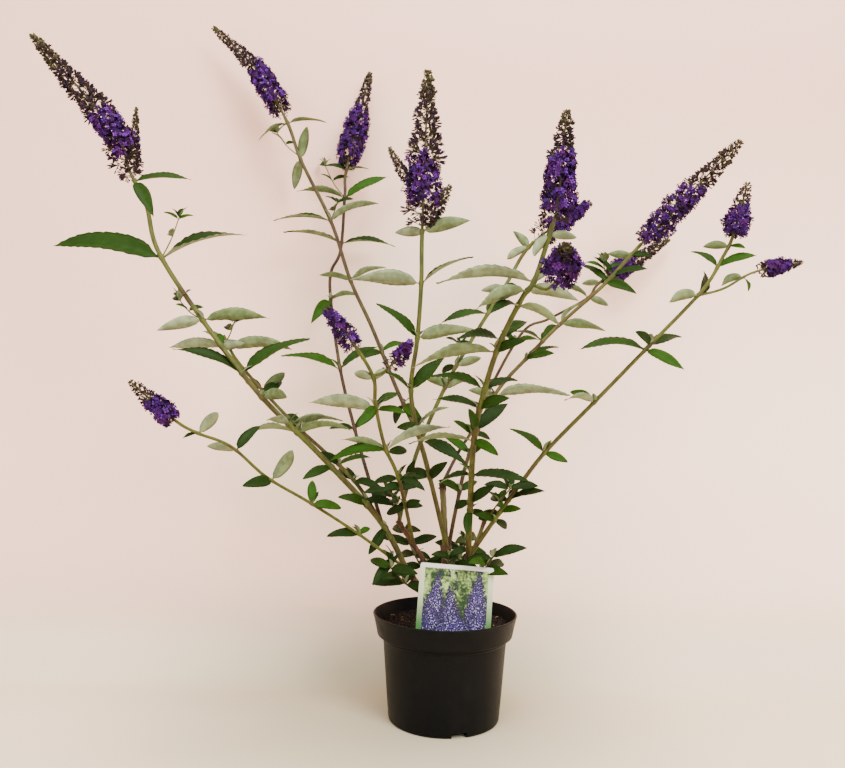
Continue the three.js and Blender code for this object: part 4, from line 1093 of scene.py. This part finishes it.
class Blossom:
    """Florets, buds and their stalks, gathered spike by spike."""

    def __init__(self):
        self.florets, self.buds, self.stalks = [], [], Pile()
        self.shapes = [floret_shape(cup) for cup in FLORET_CUPS]

    def floret(self, hub, mouth, inner, seed, number):
        tilt = [spread(seed + axis, number, FLORET["tilt"]) for axis in range(3)]
        direction = unit(unit(mouth - hub) + np.array(tilt))
        size = FLORET["size"] + FLORET["growth"] * chance(seed, number)
        tone = int(chance(number, seed) ** FLORET["tone_power"] * FLORET["tones"])
        frame = facing(direction, SPIN * chance(seed + 1, number)) * size
        # Florets near the hub take the deep violet as painted shade in the depth of the spike.
        self.florets.append((frame, mouth, (PETAL_PAINTED_SHADE if inner else tone, PETAL_TUBE)))

    def bud(self, root, tip, thickness, tones):
        reach = tip - root
        length = np.linalg.norm(reach)
        frame = facing(reach / length, 0) * np.array([[thickness], [thickness], [length]])
        self.buds.append((frame, root, tones))

    def stalk(self, root, tip, radius, tone):
        frame = facing(unit(tip - root), 0)
        corners = [place + (frame[0] * math.cos(a) + frame[1] * math.sin(a)) * size
                   for place, size in ((root, radius), (tip, radius * STALK_TAPER)) for a in STALK_CORNERS]
        self.stalks.add(corners, tube_faces(2, len(STALK_CORNERS)), tone)

    def spike(self, curve, size, bloom, seed, fullness=1, spacing=1, bud_reach=USUAL_BUD_REACH):
        """Whorls of cymes on the last part of a curve, open only within the bloom."""
        length, radius = size
        start = curve.length - length
        cymes = WHORL["cymes"]
        widest = radius * spacing ** WHORL["widening"]
        whorls = max(WHORL["least"], round(length / (WHORL["step"] + WHORL["growth"] * radius) / spacing))
        shares = 1 - (1 - (np.arange(whorls) + 0.5) / whorls) ** WHORL["crowding"]
        steps = np.gradient(shares) * length
        limits = (*bloom, mix(bloom[1], 1, YOUNG_FROM), mix(bloom[1], 1, TIP_FROM))
        for whorl, ring in enumerate(curve.rings(start + shares * length)):
            share, step = shares[whorl], steps[whorl]
            for corner in range(cymes):
                angle = 2 * math.pi * (corner + whorl % 2 / 2) / cymes
                angle += spread(seed + whorl, corner, WHORL["stray"])
                edge = share + spread(seed + whorl, corner + 5, WHORL["border"])
                state = list(CYMES)[sum(edge >= limit for limit in limits)]
                reach = widest * outline_at(share) * mix(*WHORL["reach"], chance(seed + whorl, corner + 9))
                reach *= 1 if state == "open" else bud_reach
                number = 7 * seed + cymes * whorl + corner
                self.cyme(ring, angle, reach, state, step, fullness, number)
        rachis = curve.rings(np.linspace(start - RACHIS["below"], curve.length - RACHIS["short"], whorls + 1))
        widths = (min(RACHIS["thickest"], RACHIS["least"] + radius * RACHIS["growth"]), RACHIS["tip"])
        capped_tube(self.stalks, rachis, RACHIS["sides"], lambda level, angle: mix(*widths, level / whorls),
                    lambda level, corner: STALK_OLIVE)

    def cyme(self, ring, angle, reach, state, step, fullness, seed):
        """One branched cluster to one side of the rachis, fanned out from its own hub."""
        kind = CYMES[state]
        stalk = STALK_BROWN if state == "old" else STALK_OLIVE
        centre, along, normal, side = ring
        out = normal * math.cos(angle) + side * math.sin(angle)
        beside = np.cross(along, out)
        hub = centre + out * reach * kind["hub"] + along * step * CYME["hub_rise"]
        if reach > CYME["stalked"]:
            self.stalk(centre - along * step * CYME["stalk_drop"], hub, CYME["stalk_radius"], stalk)
        share = min(1, CYME["sparse"] + reach / CYME["full_at"])
        bud_size = mix(*CYME["bud_sizes"], min(1, reach / CYME["bud_full_at"]))
        for number in range(max(CYME["least"], round(kind["full"] * fullness * share))):
            aside = spread(seed, number, CYME["fan"])
            climb = mix(*kind["climb"], chance(seed + number, 4))
            level = out * math.cos(aside) + beside * math.sin(aside)
            heading = level * math.cos(climb) + along * math.sin(climb)
            inner = chance(number, seed + 9) < CYME["inner"]
            length = mix(*CYME["lengths"], chance(number, seed + 5)) - CYME["inner_loss"] * inner
            tip = hub + heading * (reach * (CYME["length"] - kind["hub"]) + CYME["over"]) * length
            if state == "open" and chance(seed + 2, number) > CYME["closed"]:
                self.floret(hub, tip, inner, seed, number)
                continue
            root = mix(hub, centre, CYME["bud_root"] * chance(seed + 3, number))
            tone = kind["buds"][int(chance(seed, number + 1) * len(kind["buds"]))]
            self.bud(root, tip, bud_size, (tone, stalk))

    def build(self, side, nodes):
        petals = Pile()
        for number, shape in enumerate(self.shapes):
            petals.scatter(shape, *zip(*self.florets[number::len(self.shapes)]))
        petals.build(f"florets_{side}", PETALS, nodes, "flower")
        self.stalks.scatter(bud_shape(), *zip(*self.buds))
        self.stalks.build(f"buds_{side}", BUDS, (), "flower")


# ---------------------------------------------------------------- woody crown
CROWN_SIDES = 26
BARK_STEP = 1.6
HEAD = {"cut": 0.28, "whole": 0.05, "length": 7}  # how much a stub swells at its end, and over what length
# Bark: how far its forms stand out, as shares of the radius, and how fine they are.
BARK_ROUND, BARK_LENGTH = 1.3, 11
RIDGES = {"height": 0.1, "grain": 1.4}
SEAMS = {"height": 0.05, "grain": Vector((4, 4, 1))}
KNOBS = {"height": 0.22, "grain": 1.9}
HEAD_BARK = {"length": 6, "spread": 5}  # how far down from its end a stub has brown bark
SAWN_FACE = ((1, 0), (0.86, -0.9), (0.6, 1.2), (0.3, 0.4))  # [share of the radius, depth]
SAWN_ROUGHNESS, SAWN_MIDDLE = 0.9, 0.5
# Lumps round the end of a stub: numbers on a cut and on a whole one, and sizes in radii.
LUMPS = {"cut": 9, "whole": 3, "below": 1, "stretch": 9, "sizes": (0.28, 0.5), "at": 0.95, "lift": 0.6}
LUMP_FORM = ((1,), (0.85,), (1.35,))
CROWN_SEED, STUB_SEED = 3, 11


def woody(pile, curve, radii, cut, seed, tone=0):
    """A woody stub with ridged bark; a cut one ends in a knobby, sunken head with brown bark."""
    end = curve.length
    steps = max(10, round(end / BARK_STEP))
    distances = np.linspace(0, end, steps + 1)
    rings = curve.rings(distances)

    def radius_at(level, angle):
        here = distances[level]
        head = math.exp(-((end - here) / HEAD["length"]) ** 2) * HEAD["cut" if cut else "whole"]
        place = Vector((math.cos(angle) * BARK_ROUND, math.sin(angle) * BARK_ROUND, here / BARK_LENGTH))
        place += Vector((seed, 0, 0))
        ridges = RIDGES["height"] * noise.noise(place * RIDGES["grain"])
        ridges += SEAMS["height"] * noise.noise(place * SEAMS["grain"])
        knob = max(0, noise.noise(place * KNOBS["grain"] + Vector((9, 4, seed))))
        knobs = KNOBS["height"] * knob * (1 + 2 * head)
        base = np.interp(here, np.linspace(0, end, len(radii)), radii)
        return base * (1 + head + ridges + knobs)

    def tone_at(level, corner):
        brown = HEAD_BARK["length"] + HEAD_BARK["spread"] * chance(seed, corner)
        return 0 if distances[min(level, steps)] > end - brown else tone

    capped_tube(pile, rings, CROWN_SIDES, radius_at, tone_at, (True, False))
    centre, along, normal, side = rings[-1]
    rim = [radius_at(steps, 2 * math.pi * corner / CROWN_SIDES) for corner in range(CROWN_SIDES)]
    vertices = []
    for ring_share, sink in SAWN_FACE:
        for corner, reach in enumerate(rim):
            angle = 2 * math.pi * corner / CROWN_SIDES
            out = normal * math.cos(angle) + side * math.sin(angle)
            rough = spread(seed + corner, ring_share * 9, SAWN_ROUGHNESS) * (ring_share < 1)
            vertices.append(centre + out * reach * ring_share - along * (sink + rough))
    pile.add(vertices, tube_faces(len(SAWN_FACE), CROWN_SIDES), 1)
    pile.add([*vertices[-CROWN_SIDES:], centre - along * SAWN_MIDDLE], lid_faces(CROWN_SIDES), 1)


def lump_shape(subdivisions, roughness, grain):
    """An uneven rounded lump of unit radius."""
    mesh = bmesh.new()
    bmesh.ops.create_icosphere(mesh, subdivisions=subdivisions, radius=1)
    vertices = [tuple(vertex.co * (1 + roughness * noise.noise(vertex.co * grain))) for vertex in mesh.verts]
    faces = [[vertex.index for vertex in face.verts] for face in mesh.faces]
    mesh.free()
    return Shape(vertices, (faces, [0] * len(faces)))


def crown():
    """The trunk's flare on the compost and the woody stubs of earlier years."""
    pile = Pile()
    foot, top = CROWN["foot"], CROWN["top"]
    trunk = Curve([(0, 0, foot), (0, 0, foot + CROWN["flare_height"]), top])
    woody(pile, trunk, CROWN["radii"], False, CROWN_SEED)
    frames, places = [], []
    for number, stub in enumerate(STUBS):
        curve = Curve(stub["route"])
        radius = stub["radii"][1]
        woody(pile, curve, stub["radii"], stub["cut"], STUB_SEED + 5 * number, stub.get("tone", 0))
        for lump in range(LUMPS["cut" if stub["cut"] else "whole"]):
            distance = curve.length - LUMPS["below"] - LUMPS["stretch"] * chance(number, lump) ** 2
            centre, along, normal, side = curve.rings([distance])[0]
            angle = SPIN * chance(number, lump + 20)
            out = normal * math.cos(angle) + side * math.sin(angle)
            size = radius * mix(*LUMPS["sizes"], chance(lump, number))
            places.append(centre + out * radius * LUMPS["at"])
            frames.append(facing(unit(out + along * LUMPS["lift"]), angle) * size * np.array(LUMP_FORM))
    tones = [(int(chance(n, 2) * 2),) for n in range(len(places))]
    pile.scatter(lump_shape(2, 0.35, 1.7), frames, places, tones)
    return pile.build("crown_wood", WOOD, ["crown"], "wood")


# ---------------------------------------------------------------- pot, compost and label
POT_SIDES = 192


def wall_radius(height):
    return mix(POT_BASE_RADIUS, WALL_TOP_RADIUS, height / (POT_HEIGHT - BAND_HEIGHT))


def arc(centre, radius, first, last, steps=5):
    """Points of a rounded edge in the pot's profile, from one angle to another in degrees."""
    angles = np.radians(np.linspace(first, last, steps))
    return [(centre[0] + radius * math.cos(a), centre[1] + radius * math.sin(a)) for a in angles]


# Radii of the rounded edges in the pot's profile.
EDGE = {"foot": 3.4, "ledge": 0.7, "collar": 1.1, "rim": 1.2, "rim_inside": 0.8}


def pot_profile():
    """[radius, height] from the middle of the underside, up the outside and down the inside."""
    band = POT_HEIGHT - BAND_HEIGHT
    ledge = band - LEDGE_HEIGHT
    shelf = WALL_TOP_RADIUS + LEDGE_DEPTH
    inside = wall_radius(band) - POT_WALL
    foot, collar, rim = EDGE["foot"], EDGE["collar"], EDGE["rim"]
    return [
        (POT_BASE_RADIUS - 4, 0),
        *arc((POT_BASE_RADIUS - foot, foot), foot, -80, -8),
        (wall_radius(30), 30),
        (wall_radius(60), 60),
        (wall_radius(ledge - 0.4), ledge - 0.4),
        *arc((wall_radius(ledge) + LEDGE_DEPTH - 0.6, ledge + 0.9), EDGE["ledge"], -60, 0, 3),
        (shelf, band - 0.3),
        (shelf + 0.3, band),
        *arc((BAND_LOW_RADIUS - collar, band + collar), collar, -90, 0),
        (mix(BAND_LOW_RADIUS, POT_RIM_RADIUS, 0.5) - 0.2, band + BAND_HEIGHT / 2),
        (POT_RIM_RADIUS - 0.7, POT_HEIGHT - 3.4),
        *arc((POT_RIM_RADIUS - rim, POT_HEIGHT - 1.4), rim, -30, 90, 7),
        *arc((POT_RIM_RADIUS - 1.6, POT_HEIGHT - 1), EDGE["rim_inside"], 90, 180, 4),
        (BAND_LOW_RADIUS - POT_WALL, band + POT_WALL + 2),
        (BAND_LOW_RADIUS - POT_WALL - 1, band + POT_WALL),
        (inside + 0.6, band + POT_WALL),
        (inside, band),
        (wall_radius(BASE_PLATE) - POT_WALL, BASE_PLATE),
    ]


def lathe(pile, profile, sides, tone=0):
    """A closed turned body whose profile starts and ends near the axis."""
    vertices = turned_rings(profile, sides)
    pile.add(vertices, tube_faces(len(profile), sides), tone)
    for level, order in ((0, -1), (len(profile) - 1, 1)):
        ring = vertices[level * sides:(level + 1) * sides]
        pile.add([*ring, (0, 0, profile[level][1])], lid_faces(sides, order), tone)


def cut_away(piece, tool):
    """Cuts the tool's shape out of the piece and deletes the tool."""
    modifier = piece.modifiers.new("cut", "BOOLEAN")
    modifier.operation, modifier.solver, modifier.object = "DIFFERENCE", "EXACT", tool
    bpy.context.view_layer.update()
    mesh = bpy.data.meshes.new_from_object(piece.evaluated_get(bpy.context.evaluated_depsgraph_get()))
    piece.modifiers.remove(modifier)
    piece.data = mesh
    bpy.data.objects.remove(tool)


def foot_cutters(name, make):
    """One object with a cutter at each of the pot's drainage notches."""
    mesh = bmesh.new()
    for gap in range(FEET_GAPS):
        turn = math.radians(FEET_GAP["first_turn"] + 360 * gap / FEET_GAPS)
        made = make(mesh)["verts"]
        bmesh.ops.transform(mesh, matrix=Matrix.Rotation(turn, 4, "Z"), verts=made)
    data = bpy.data.meshes.new(name)
    mesh.to_mesh(data)
    mesh.free()
    return linked(name, data)


def notch(mesh):
    depth = FEET_GAP["depth"] + FEET_GAP["overrun"]
    place = Matrix.Translation((MM * (POT_BASE_RADIUS + FEET_GAP["overrun"] - depth / 2), 0, 0))
    size = Matrix.Diagonal((MM * depth, MM * FEET_GAP["width"], MM * 2 * FEET_GAP["height"], 1))
    return bmesh.ops.create_cube(mesh, size=1, matrix=place @ size)


def drain_hole(mesh):
    radius = MM * DRAIN_HOLE["radius"]
    place = Matrix.Translation((MM * DRAIN_HOLE["ring"], 0, 0))
    return bmesh.ops.create_cone(mesh, cap_ends=True, segments=24, radius1=radius, radius2=radius,
                                 depth=MM * DRAIN_HOLE["depth"], matrix=place)


SAME_PLACE = 1e-6
CRISP_ANGLE = 32


def pot():
    """The moulded pot, with its drainage notches and holes cut out."""
    pile = Pile()
    lathe(pile, pot_profile(), POT_SIDES)
    piece = pile.build("nursery_pot", [plastic_finish()], ["pot"], "pot", smooth=False)
    merge = bmesh.new()
    merge.from_mesh(piece.data)
    bmesh.ops.remove_doubles(merge, verts=merge.verts, dist=SAME_PLACE)
    merge.to_mesh(piece.data)
    merge.free()
    cut_away(piece, foot_cutters("notches", notch))
    cut_away(piece, foot_cutters("holes", drain_hole))
    piece.data.shade_smooth()
    sharpen(piece, CRISP_ANGLE)
    return piece


def sharpen(piece, degrees):
    """Keeps edges sharper than an angle crisp."""
    mesh = bmesh.new()
    mesh.from_mesh(piece.data)
    for edge in mesh.edges:
        edge.smooth = edge.calc_face_angle(0) < math.radians(degrees)
    mesh.to_mesh(piece.data)
    mesh.free()


SOIL_RINGS = 70
SOIL_MIDDLE = 1.5  # radius of the innermost ring
COLLAR_GAP, WALL_GAP = 0.3, 0.6  # between the compost and the pot
SOIL_WAVES = ((1.5, 17), (1.1, 5), (0.6, 2))  # [height, length] of its unevenness
FULL_TURN = 6.2832
CRUMBS = {
    "number": 2600, "reach": 86, "least": 0.5, "growth": 1.9, "power": 4,
    "broad": 0.7, "flattest": 0.6, "taller": 0.8, "upright": 1.2, "sunk": 0.25,
}
CRUMB_TONES = 2.25  # above 2 a few crumbs take the third place in SOIL
FLECKS = {"number": 130, "reach": 84, "length": (3, 12), "radius": 0.35, "growth": 0.3}
WOODY_FLECK, STRAW = 2, 3  # places in SOIL
STRAWS = [(-62, -48, 20, 26), (-55, -56, 5, 22), (-70, -38, 40, 15), (52, -58, -30, 14)]
STRAW_RADIUS = 0.7
STRAW_TAPER, STRAW_BEND = 0.7, 0.5


def soil_height(x, y):
    """The uneven surface of the compost, in millimetres."""
    place = Vector((x, y, 0))
    level = float(np.interp(math.hypot(x, y), *zip(*SOIL_PROFILE)))
    for height, length in SOIL_WAVES:
        level += height * noise.noise(place / length)
    return level


def on_soil(seed, first, reach):
    """A random place on the compost within a reach of its middle, and the turn it lies at."""
    distance, turn = reach * math.sqrt(chance(seed, first)), FULL_TURN * chance(seed, first + 1)
    return distance * math.cos(turn), distance * math.sin(turn), turn


def soil_body(pile):
    """The body of the compost inside the pot, with its uneven surface."""
    band = POT_HEIGHT - BAND_HEIGHT
    inside = BAND_LOW_RADIUS - POT_WALL - COLLAR_GAP
    wall = POT_WALL + WALL_GAP
    surface = turned_rings([(reach, 0) for reach in np.linspace(inside, SOIL_MIDDLE, SOIL_RINGS)], POT_SIDES)
    surface = [(x, y, soil_height(x, y)) for x, y, _ in surface]
    pile.add(surface, tube_faces(SOIL_RINGS, POT_SIDES), 0)
    pile.add([*surface[-POT_SIDES:], (0, 0, soil_height(0, 0))], lid_faces(POT_SIDES), 0)
    skirt = [
        (inside, SOIL_EDGE),
        (inside - 1, band + 5),
        (wall_radius(band) - wall, band + 3.8),
        (wall_radius(BASE_PLATE) - wall, BASE_PLATE + COLLAR_GAP),
        (1, BASE_PLATE + COLLAR_GAP),
    ]
    pile.add(turned_rings(skirt, POT_SIDES), tube_faces(len(skirt), POT_SIDES)[:, ::-1], 0)


def crumbs(pile):
    """Crumbs of all sizes on the compost, most of them small."""
    frames, places, tones = [], [], []
    for crumb in range(CRUMBS["number"]):
        x, y, turn = on_soil(crumb, 1, CRUMBS["reach"])
        size = CRUMBS["least"] + CRUMBS["growth"] * chance(crumb, 3) ** CRUMBS["power"]
        height = CRUMBS["flattest"] + CRUMBS["taller"] * chance(crumb, 4)
        stretch = np.array([[1], [CRUMBS["broad"]], [height]])
        upwards = unit(np.array([spread(crumb, 5), spread(crumb, 6), CRUMBS["upright"]]))
        frames.append(facing(upwards, turn) * size * stretch)
        places.append((x, y, soil_height(x, y) + size * CRUMBS["sunk"]))
        tones.append((int(chance(crumb, 7) ** 2 * CRUMB_TONES),))
    pile.scatter(lump_shape(1, 0.5, 2.3), frames, places, tones)


def straw(pile, centre, lie, length, radius, tone):
    """A bent sliver that lies on the compost."""
    points = []
    for share in (-0.5, 0, 0.5):
        x = centre[0] + math.cos(lie) * share * length
        y = centre[1] + math.sin(lie) * share * length
        points.append((x, y, soil_height(x, y) + radius + STRAW_BEND * (share == 0)))
    twig(pile, Curve(points, 6), (radius, radius * STRAW_TAPER), tone, sides=5, steps=5)


def soil():
    """Compost: a rough body, crumbs, and woody flecks and straw."""
    pile = Pile()
    soil_body(pile)
    crumbs(pile)
    for fleck in range(FLECKS["number"]):
        x, y, _ = on_soil(fleck, 11, FLECKS["reach"])
        length = mix(*FLECKS["length"], chance(fleck, 14) ** 2)
        radius = FLECKS["radius"] + FLECKS["growth"] * chance(fleck, 15)
        tone = WOODY_FLECK if fleck % 5 else STRAW
        straw(pile, (x, y), FULL_TURN * chance(fleck, 13), length, radius, tone)
    for x, y, lie, length in STRAWS:
        straw(pile, (x, y), math.radians(lie), length, STRAW_RADIUS, STRAW)
    return pile.build("compost", SOIL, ["soil"], "soil")


def dress(node, finish):
    """Gives a node that keeps its own shape a finish."""
    piece = bpy.data.objects[node]
    piece.data.materials.clear()
    piece.data.materials.append(finish)


# ---------------------------------------------------------------- stage, light and camera
WALL = {"distance": 0.17, "cove": 0.09, "half_width": 2.2, "height": 2.2, "front": -2.6}
COVE_STEPS = 12
# Stretches over which the backdrop's colours change, in metres: heights, places across, and how far
# from the middle of the floor's shade.
FADES = {"glow": (0, 0.22), "sides": (-0.5, 0.5), "top": (0.3, 1), "floor": (0, 0.16), "shade": (0.08, 0.5)}
FLOOR_COLOUR = (0.74, 0.62, 0.45, 1)
FLOOR_MIDDLE = (0.4, 0.355, 0.245, 1)  # where the plant keeps light off the floor
FLOOR_SHADE = (-0.08, 0.04, 0)  # the middle of that shade
# Painted light: the wall is lighter towards the right, where the key light falls.
WALL_LEFT = (0.82, 0.6, 0.5, 1)
WALL_RIGHT = (0.92, 0.76, 0.62, 1)
# Painted shade: the wall turns darker towards its top, where less light reaches it.
WALL_TOP = (0.66, 0.45, 0.36, 1)
# Painted light: from just above the floor up, the backdrop glows with this colour, as if more brightly lit.
WALL_GLOW = (0.52, 0.17, 0.085, 1)
WALL_SHADES = [  # where the plant keeps light off the wall: colour, middle and reach, across and up
    {"colour": (0.6, 0.51, 0.415, 1), "middle": (-0.07, 0.5), "reach": (0.2, 0.38)},
    {"colour": (0.63, 0.54, 0.43, 1), "middle": (-0.24, 0.33), "reach": (0.13, 0.13)},
    {"colour": (0.6, 0.45, 0.37, 1), "middle": (-0.13, 0.8), "reach": (0.12, 0.13)},
]
SHADE_EDGE = (0, 1.3)  # squares of shares of the reach


def backdrop_finish():
    """Warm pale paper, seen from its front only; it glows as painted light, is painted lighter to the right
    and darker at the top, and carries painted shade of the plant.
    """
    shader = Shader("backdrop_paper_and_painted_light", 0.9, 0.1, Emission_Strength=1)
    across, height = shader.part(shader.place, 0), shader.part(shader.place, 2)
    glow = shader.blend((0, 0, 0, 1), WALL_GLOW, height.between(*FADES["glow"]))
    shader.feed(shader.surface.inputs["Emission Color"], glow)
    # Painted light: lighter towards the right.
    wall = shader.blend(WALL_LEFT, WALL_RIGHT, across.between(*FADES["sides"]))
    # Painted shade: darker towards the top of the wall.
    wall = shader.blend(wall, WALL_TOP, height.between(*FADES["top"]))
    for shade in WALL_SHADES:
        aside = (across - shade["middle"][0]) * (1 / shade["reach"][0])
        above = (height - shade["middle"][1]) * (1 / shade["reach"][1])
        wall = shader.blend(shade["colour"], wall, (aside * aside + above * above).between(*SHADE_EDGE))
    distance = shader.vector("DISTANCE", shader.place, FLOOR_SHADE, 1)
    floor = shader.blend(FLOOR_MIDDLE, FLOOR_COLOUR, distance.between(*FADES["shade"]))
    shader.colour(shader.blend(floor, wall, height.between(*FADES["floor"])))
    behind = shader.node("ShaderNodeNewGeometry", output="Backfacing")
    paper = Value(shader, shader.surface.outputs[0])
    clear = shader.node("ShaderNodeBsdfTransparent")
    joined = shader.node("ShaderNodeMixShader", None, {0: behind, 1: paper, 2: clear})
    shader.feed(shader.tree.nodes["Material Output"].inputs["Surface"], joined)
    return shader.material


def backdrop():
    """A floor that curves up into a wall close behind the plant."""
    distance, cove = WALL["distance"], WALL["cove"]
    profile = [(WALL["front"], 0), (distance - cove, 0)]
    for step in range(1, COVE_STEPS + 1):
        angle = math.pi / 2 * step / COVE_STEPS
        profile.append((distance - cove + cove * math.sin(angle), cove * (1 - math.cos(angle))))
    profile.append((distance, WALL["height"]))
    half = WALL["half_width"]
    vertices = [(x, y, z) for y, z in profile for x in (-half, half)]
    faces = [(2 * k, 2 * k + 1, 2 * k + 3, 2 * k + 2) for k in range(len(profile) - 1)]
    mesh = bpy.data.meshes.new("backdrop")
    mesh.from_pydata(vertices, [], faces)
    mesh.shade_smooth()
    mesh.materials.append(backdrop_finish())
    linked("backdrop", mesh)


SKY = {"colour": (1, 0.985, 0.97, 1), "strength": 0.7}
LIGHTS = {
    "key": {"at": (1.3, -1.9, 1.7), "to": (0, 0, 0.5), "size": 1.1, "power": 102, "colour": (1, 0.97, 0.93)},
    "fill": {"at": (-1.5, -1.7, 1.2), "to": (0, 0, 0.5), "size": 1.3, "power": 40, "colour": (1, 0.98, 0.95)},
    "top": {"at": (0.1, -0.9, 2.3), "to": (0, 0, 0.3), "size": 1.2, "power": 80, "colour": (1, 0.98, 0.95)},
}


def lights():
    """A pale even sky and three soft square lights."""
    world = bpy.data.worlds.new("studio")
    world.use_nodes = True
    sky = world.node_tree.nodes["Background"].inputs
    sky["Color"].default_value, sky["Strength"].default_value = SKY["colour"], SKY["strength"]
    bpy.context.scene.world = world
    for name, made in LIGHTS.items():
        light = bpy.data.lights.new(name, "AREA")
        light.shape, light.size = "SQUARE", made["size"]
        light.energy, light.color = made["power"], made["colour"]
        lamp = linked(name, light)
        lamp.location = made["at"]
        lamp.rotation_euler = (Vector(made["to"]) - Vector(made["at"])).to_track_quat("-Z", "Y").to_euler()


# The lens and the sensor are in millimetres, the pitch is in degrees and the roll in radians.
CAMERA = {"place": (-0.03603, -1.02818, 0.38739), "lens": 31.83, "sensor": 36, "pitch": 3.33, "roll": 0.018}


def camera():
    data = bpy.data.cameras.new("camera")
    data.sensor_width, data.lens = CAMERA["sensor"], CAMERA["lens"]
    piece = linked("camera", data)
    upright = Matrix.Rotation(math.radians(90 + CAMERA["pitch"]), 4, "X")
    roll = Matrix.Rotation(CAMERA["roll"], 4, "Z")
    piece.matrix_world = Matrix.Translation(CAMERA["place"]) @ upright @ roll
    bpy.context.scene.camera = piece


# ---------------------------------------------------------------- assembly
LEFT_CANES = ("arch_left", "short_left", "low_left", "upright_back", "lean_left", "centre")


def plant():
    """All canes, in a left and a right half, so that no object holds too many faces."""
    stems = Pile()
    for half in ("left", "right"):
        foliage, blossom = Foliage(), Blossom()
        left = half == "left"
        members = [(index, name) for index, name in enumerate(CANES) if (name in LEFT_CANES) == left]
        basal = [(index, name) for index, name in enumerate(BASAL) if ("left" in name) == left]
        for index, name in members:
            cane(stems, foliage, blossom, name, index)
        for index, name in basal:
            basal_shoot(stems, foliage, name, index)
        sprays = [f"spray_{name}" for _, name in members] + [name for _, name in basal]
        flowers = [f"flower_{name}" for _, name in members if CANES[name]["spike"]]
        flowers += [f"flower_{name}_side" for _, name in members if "side" in CANES[name]]
        foliage.build(f"leaves_{half}", sprays)
        blossom.build(half, flowers)
    stems.build("canes", STEMS, [f"cane_{name}" for name in CANES], "cane")


camera()
lights()
backdrop()
pot()
soil()
dress("label", card_finish())
crown()
plant()
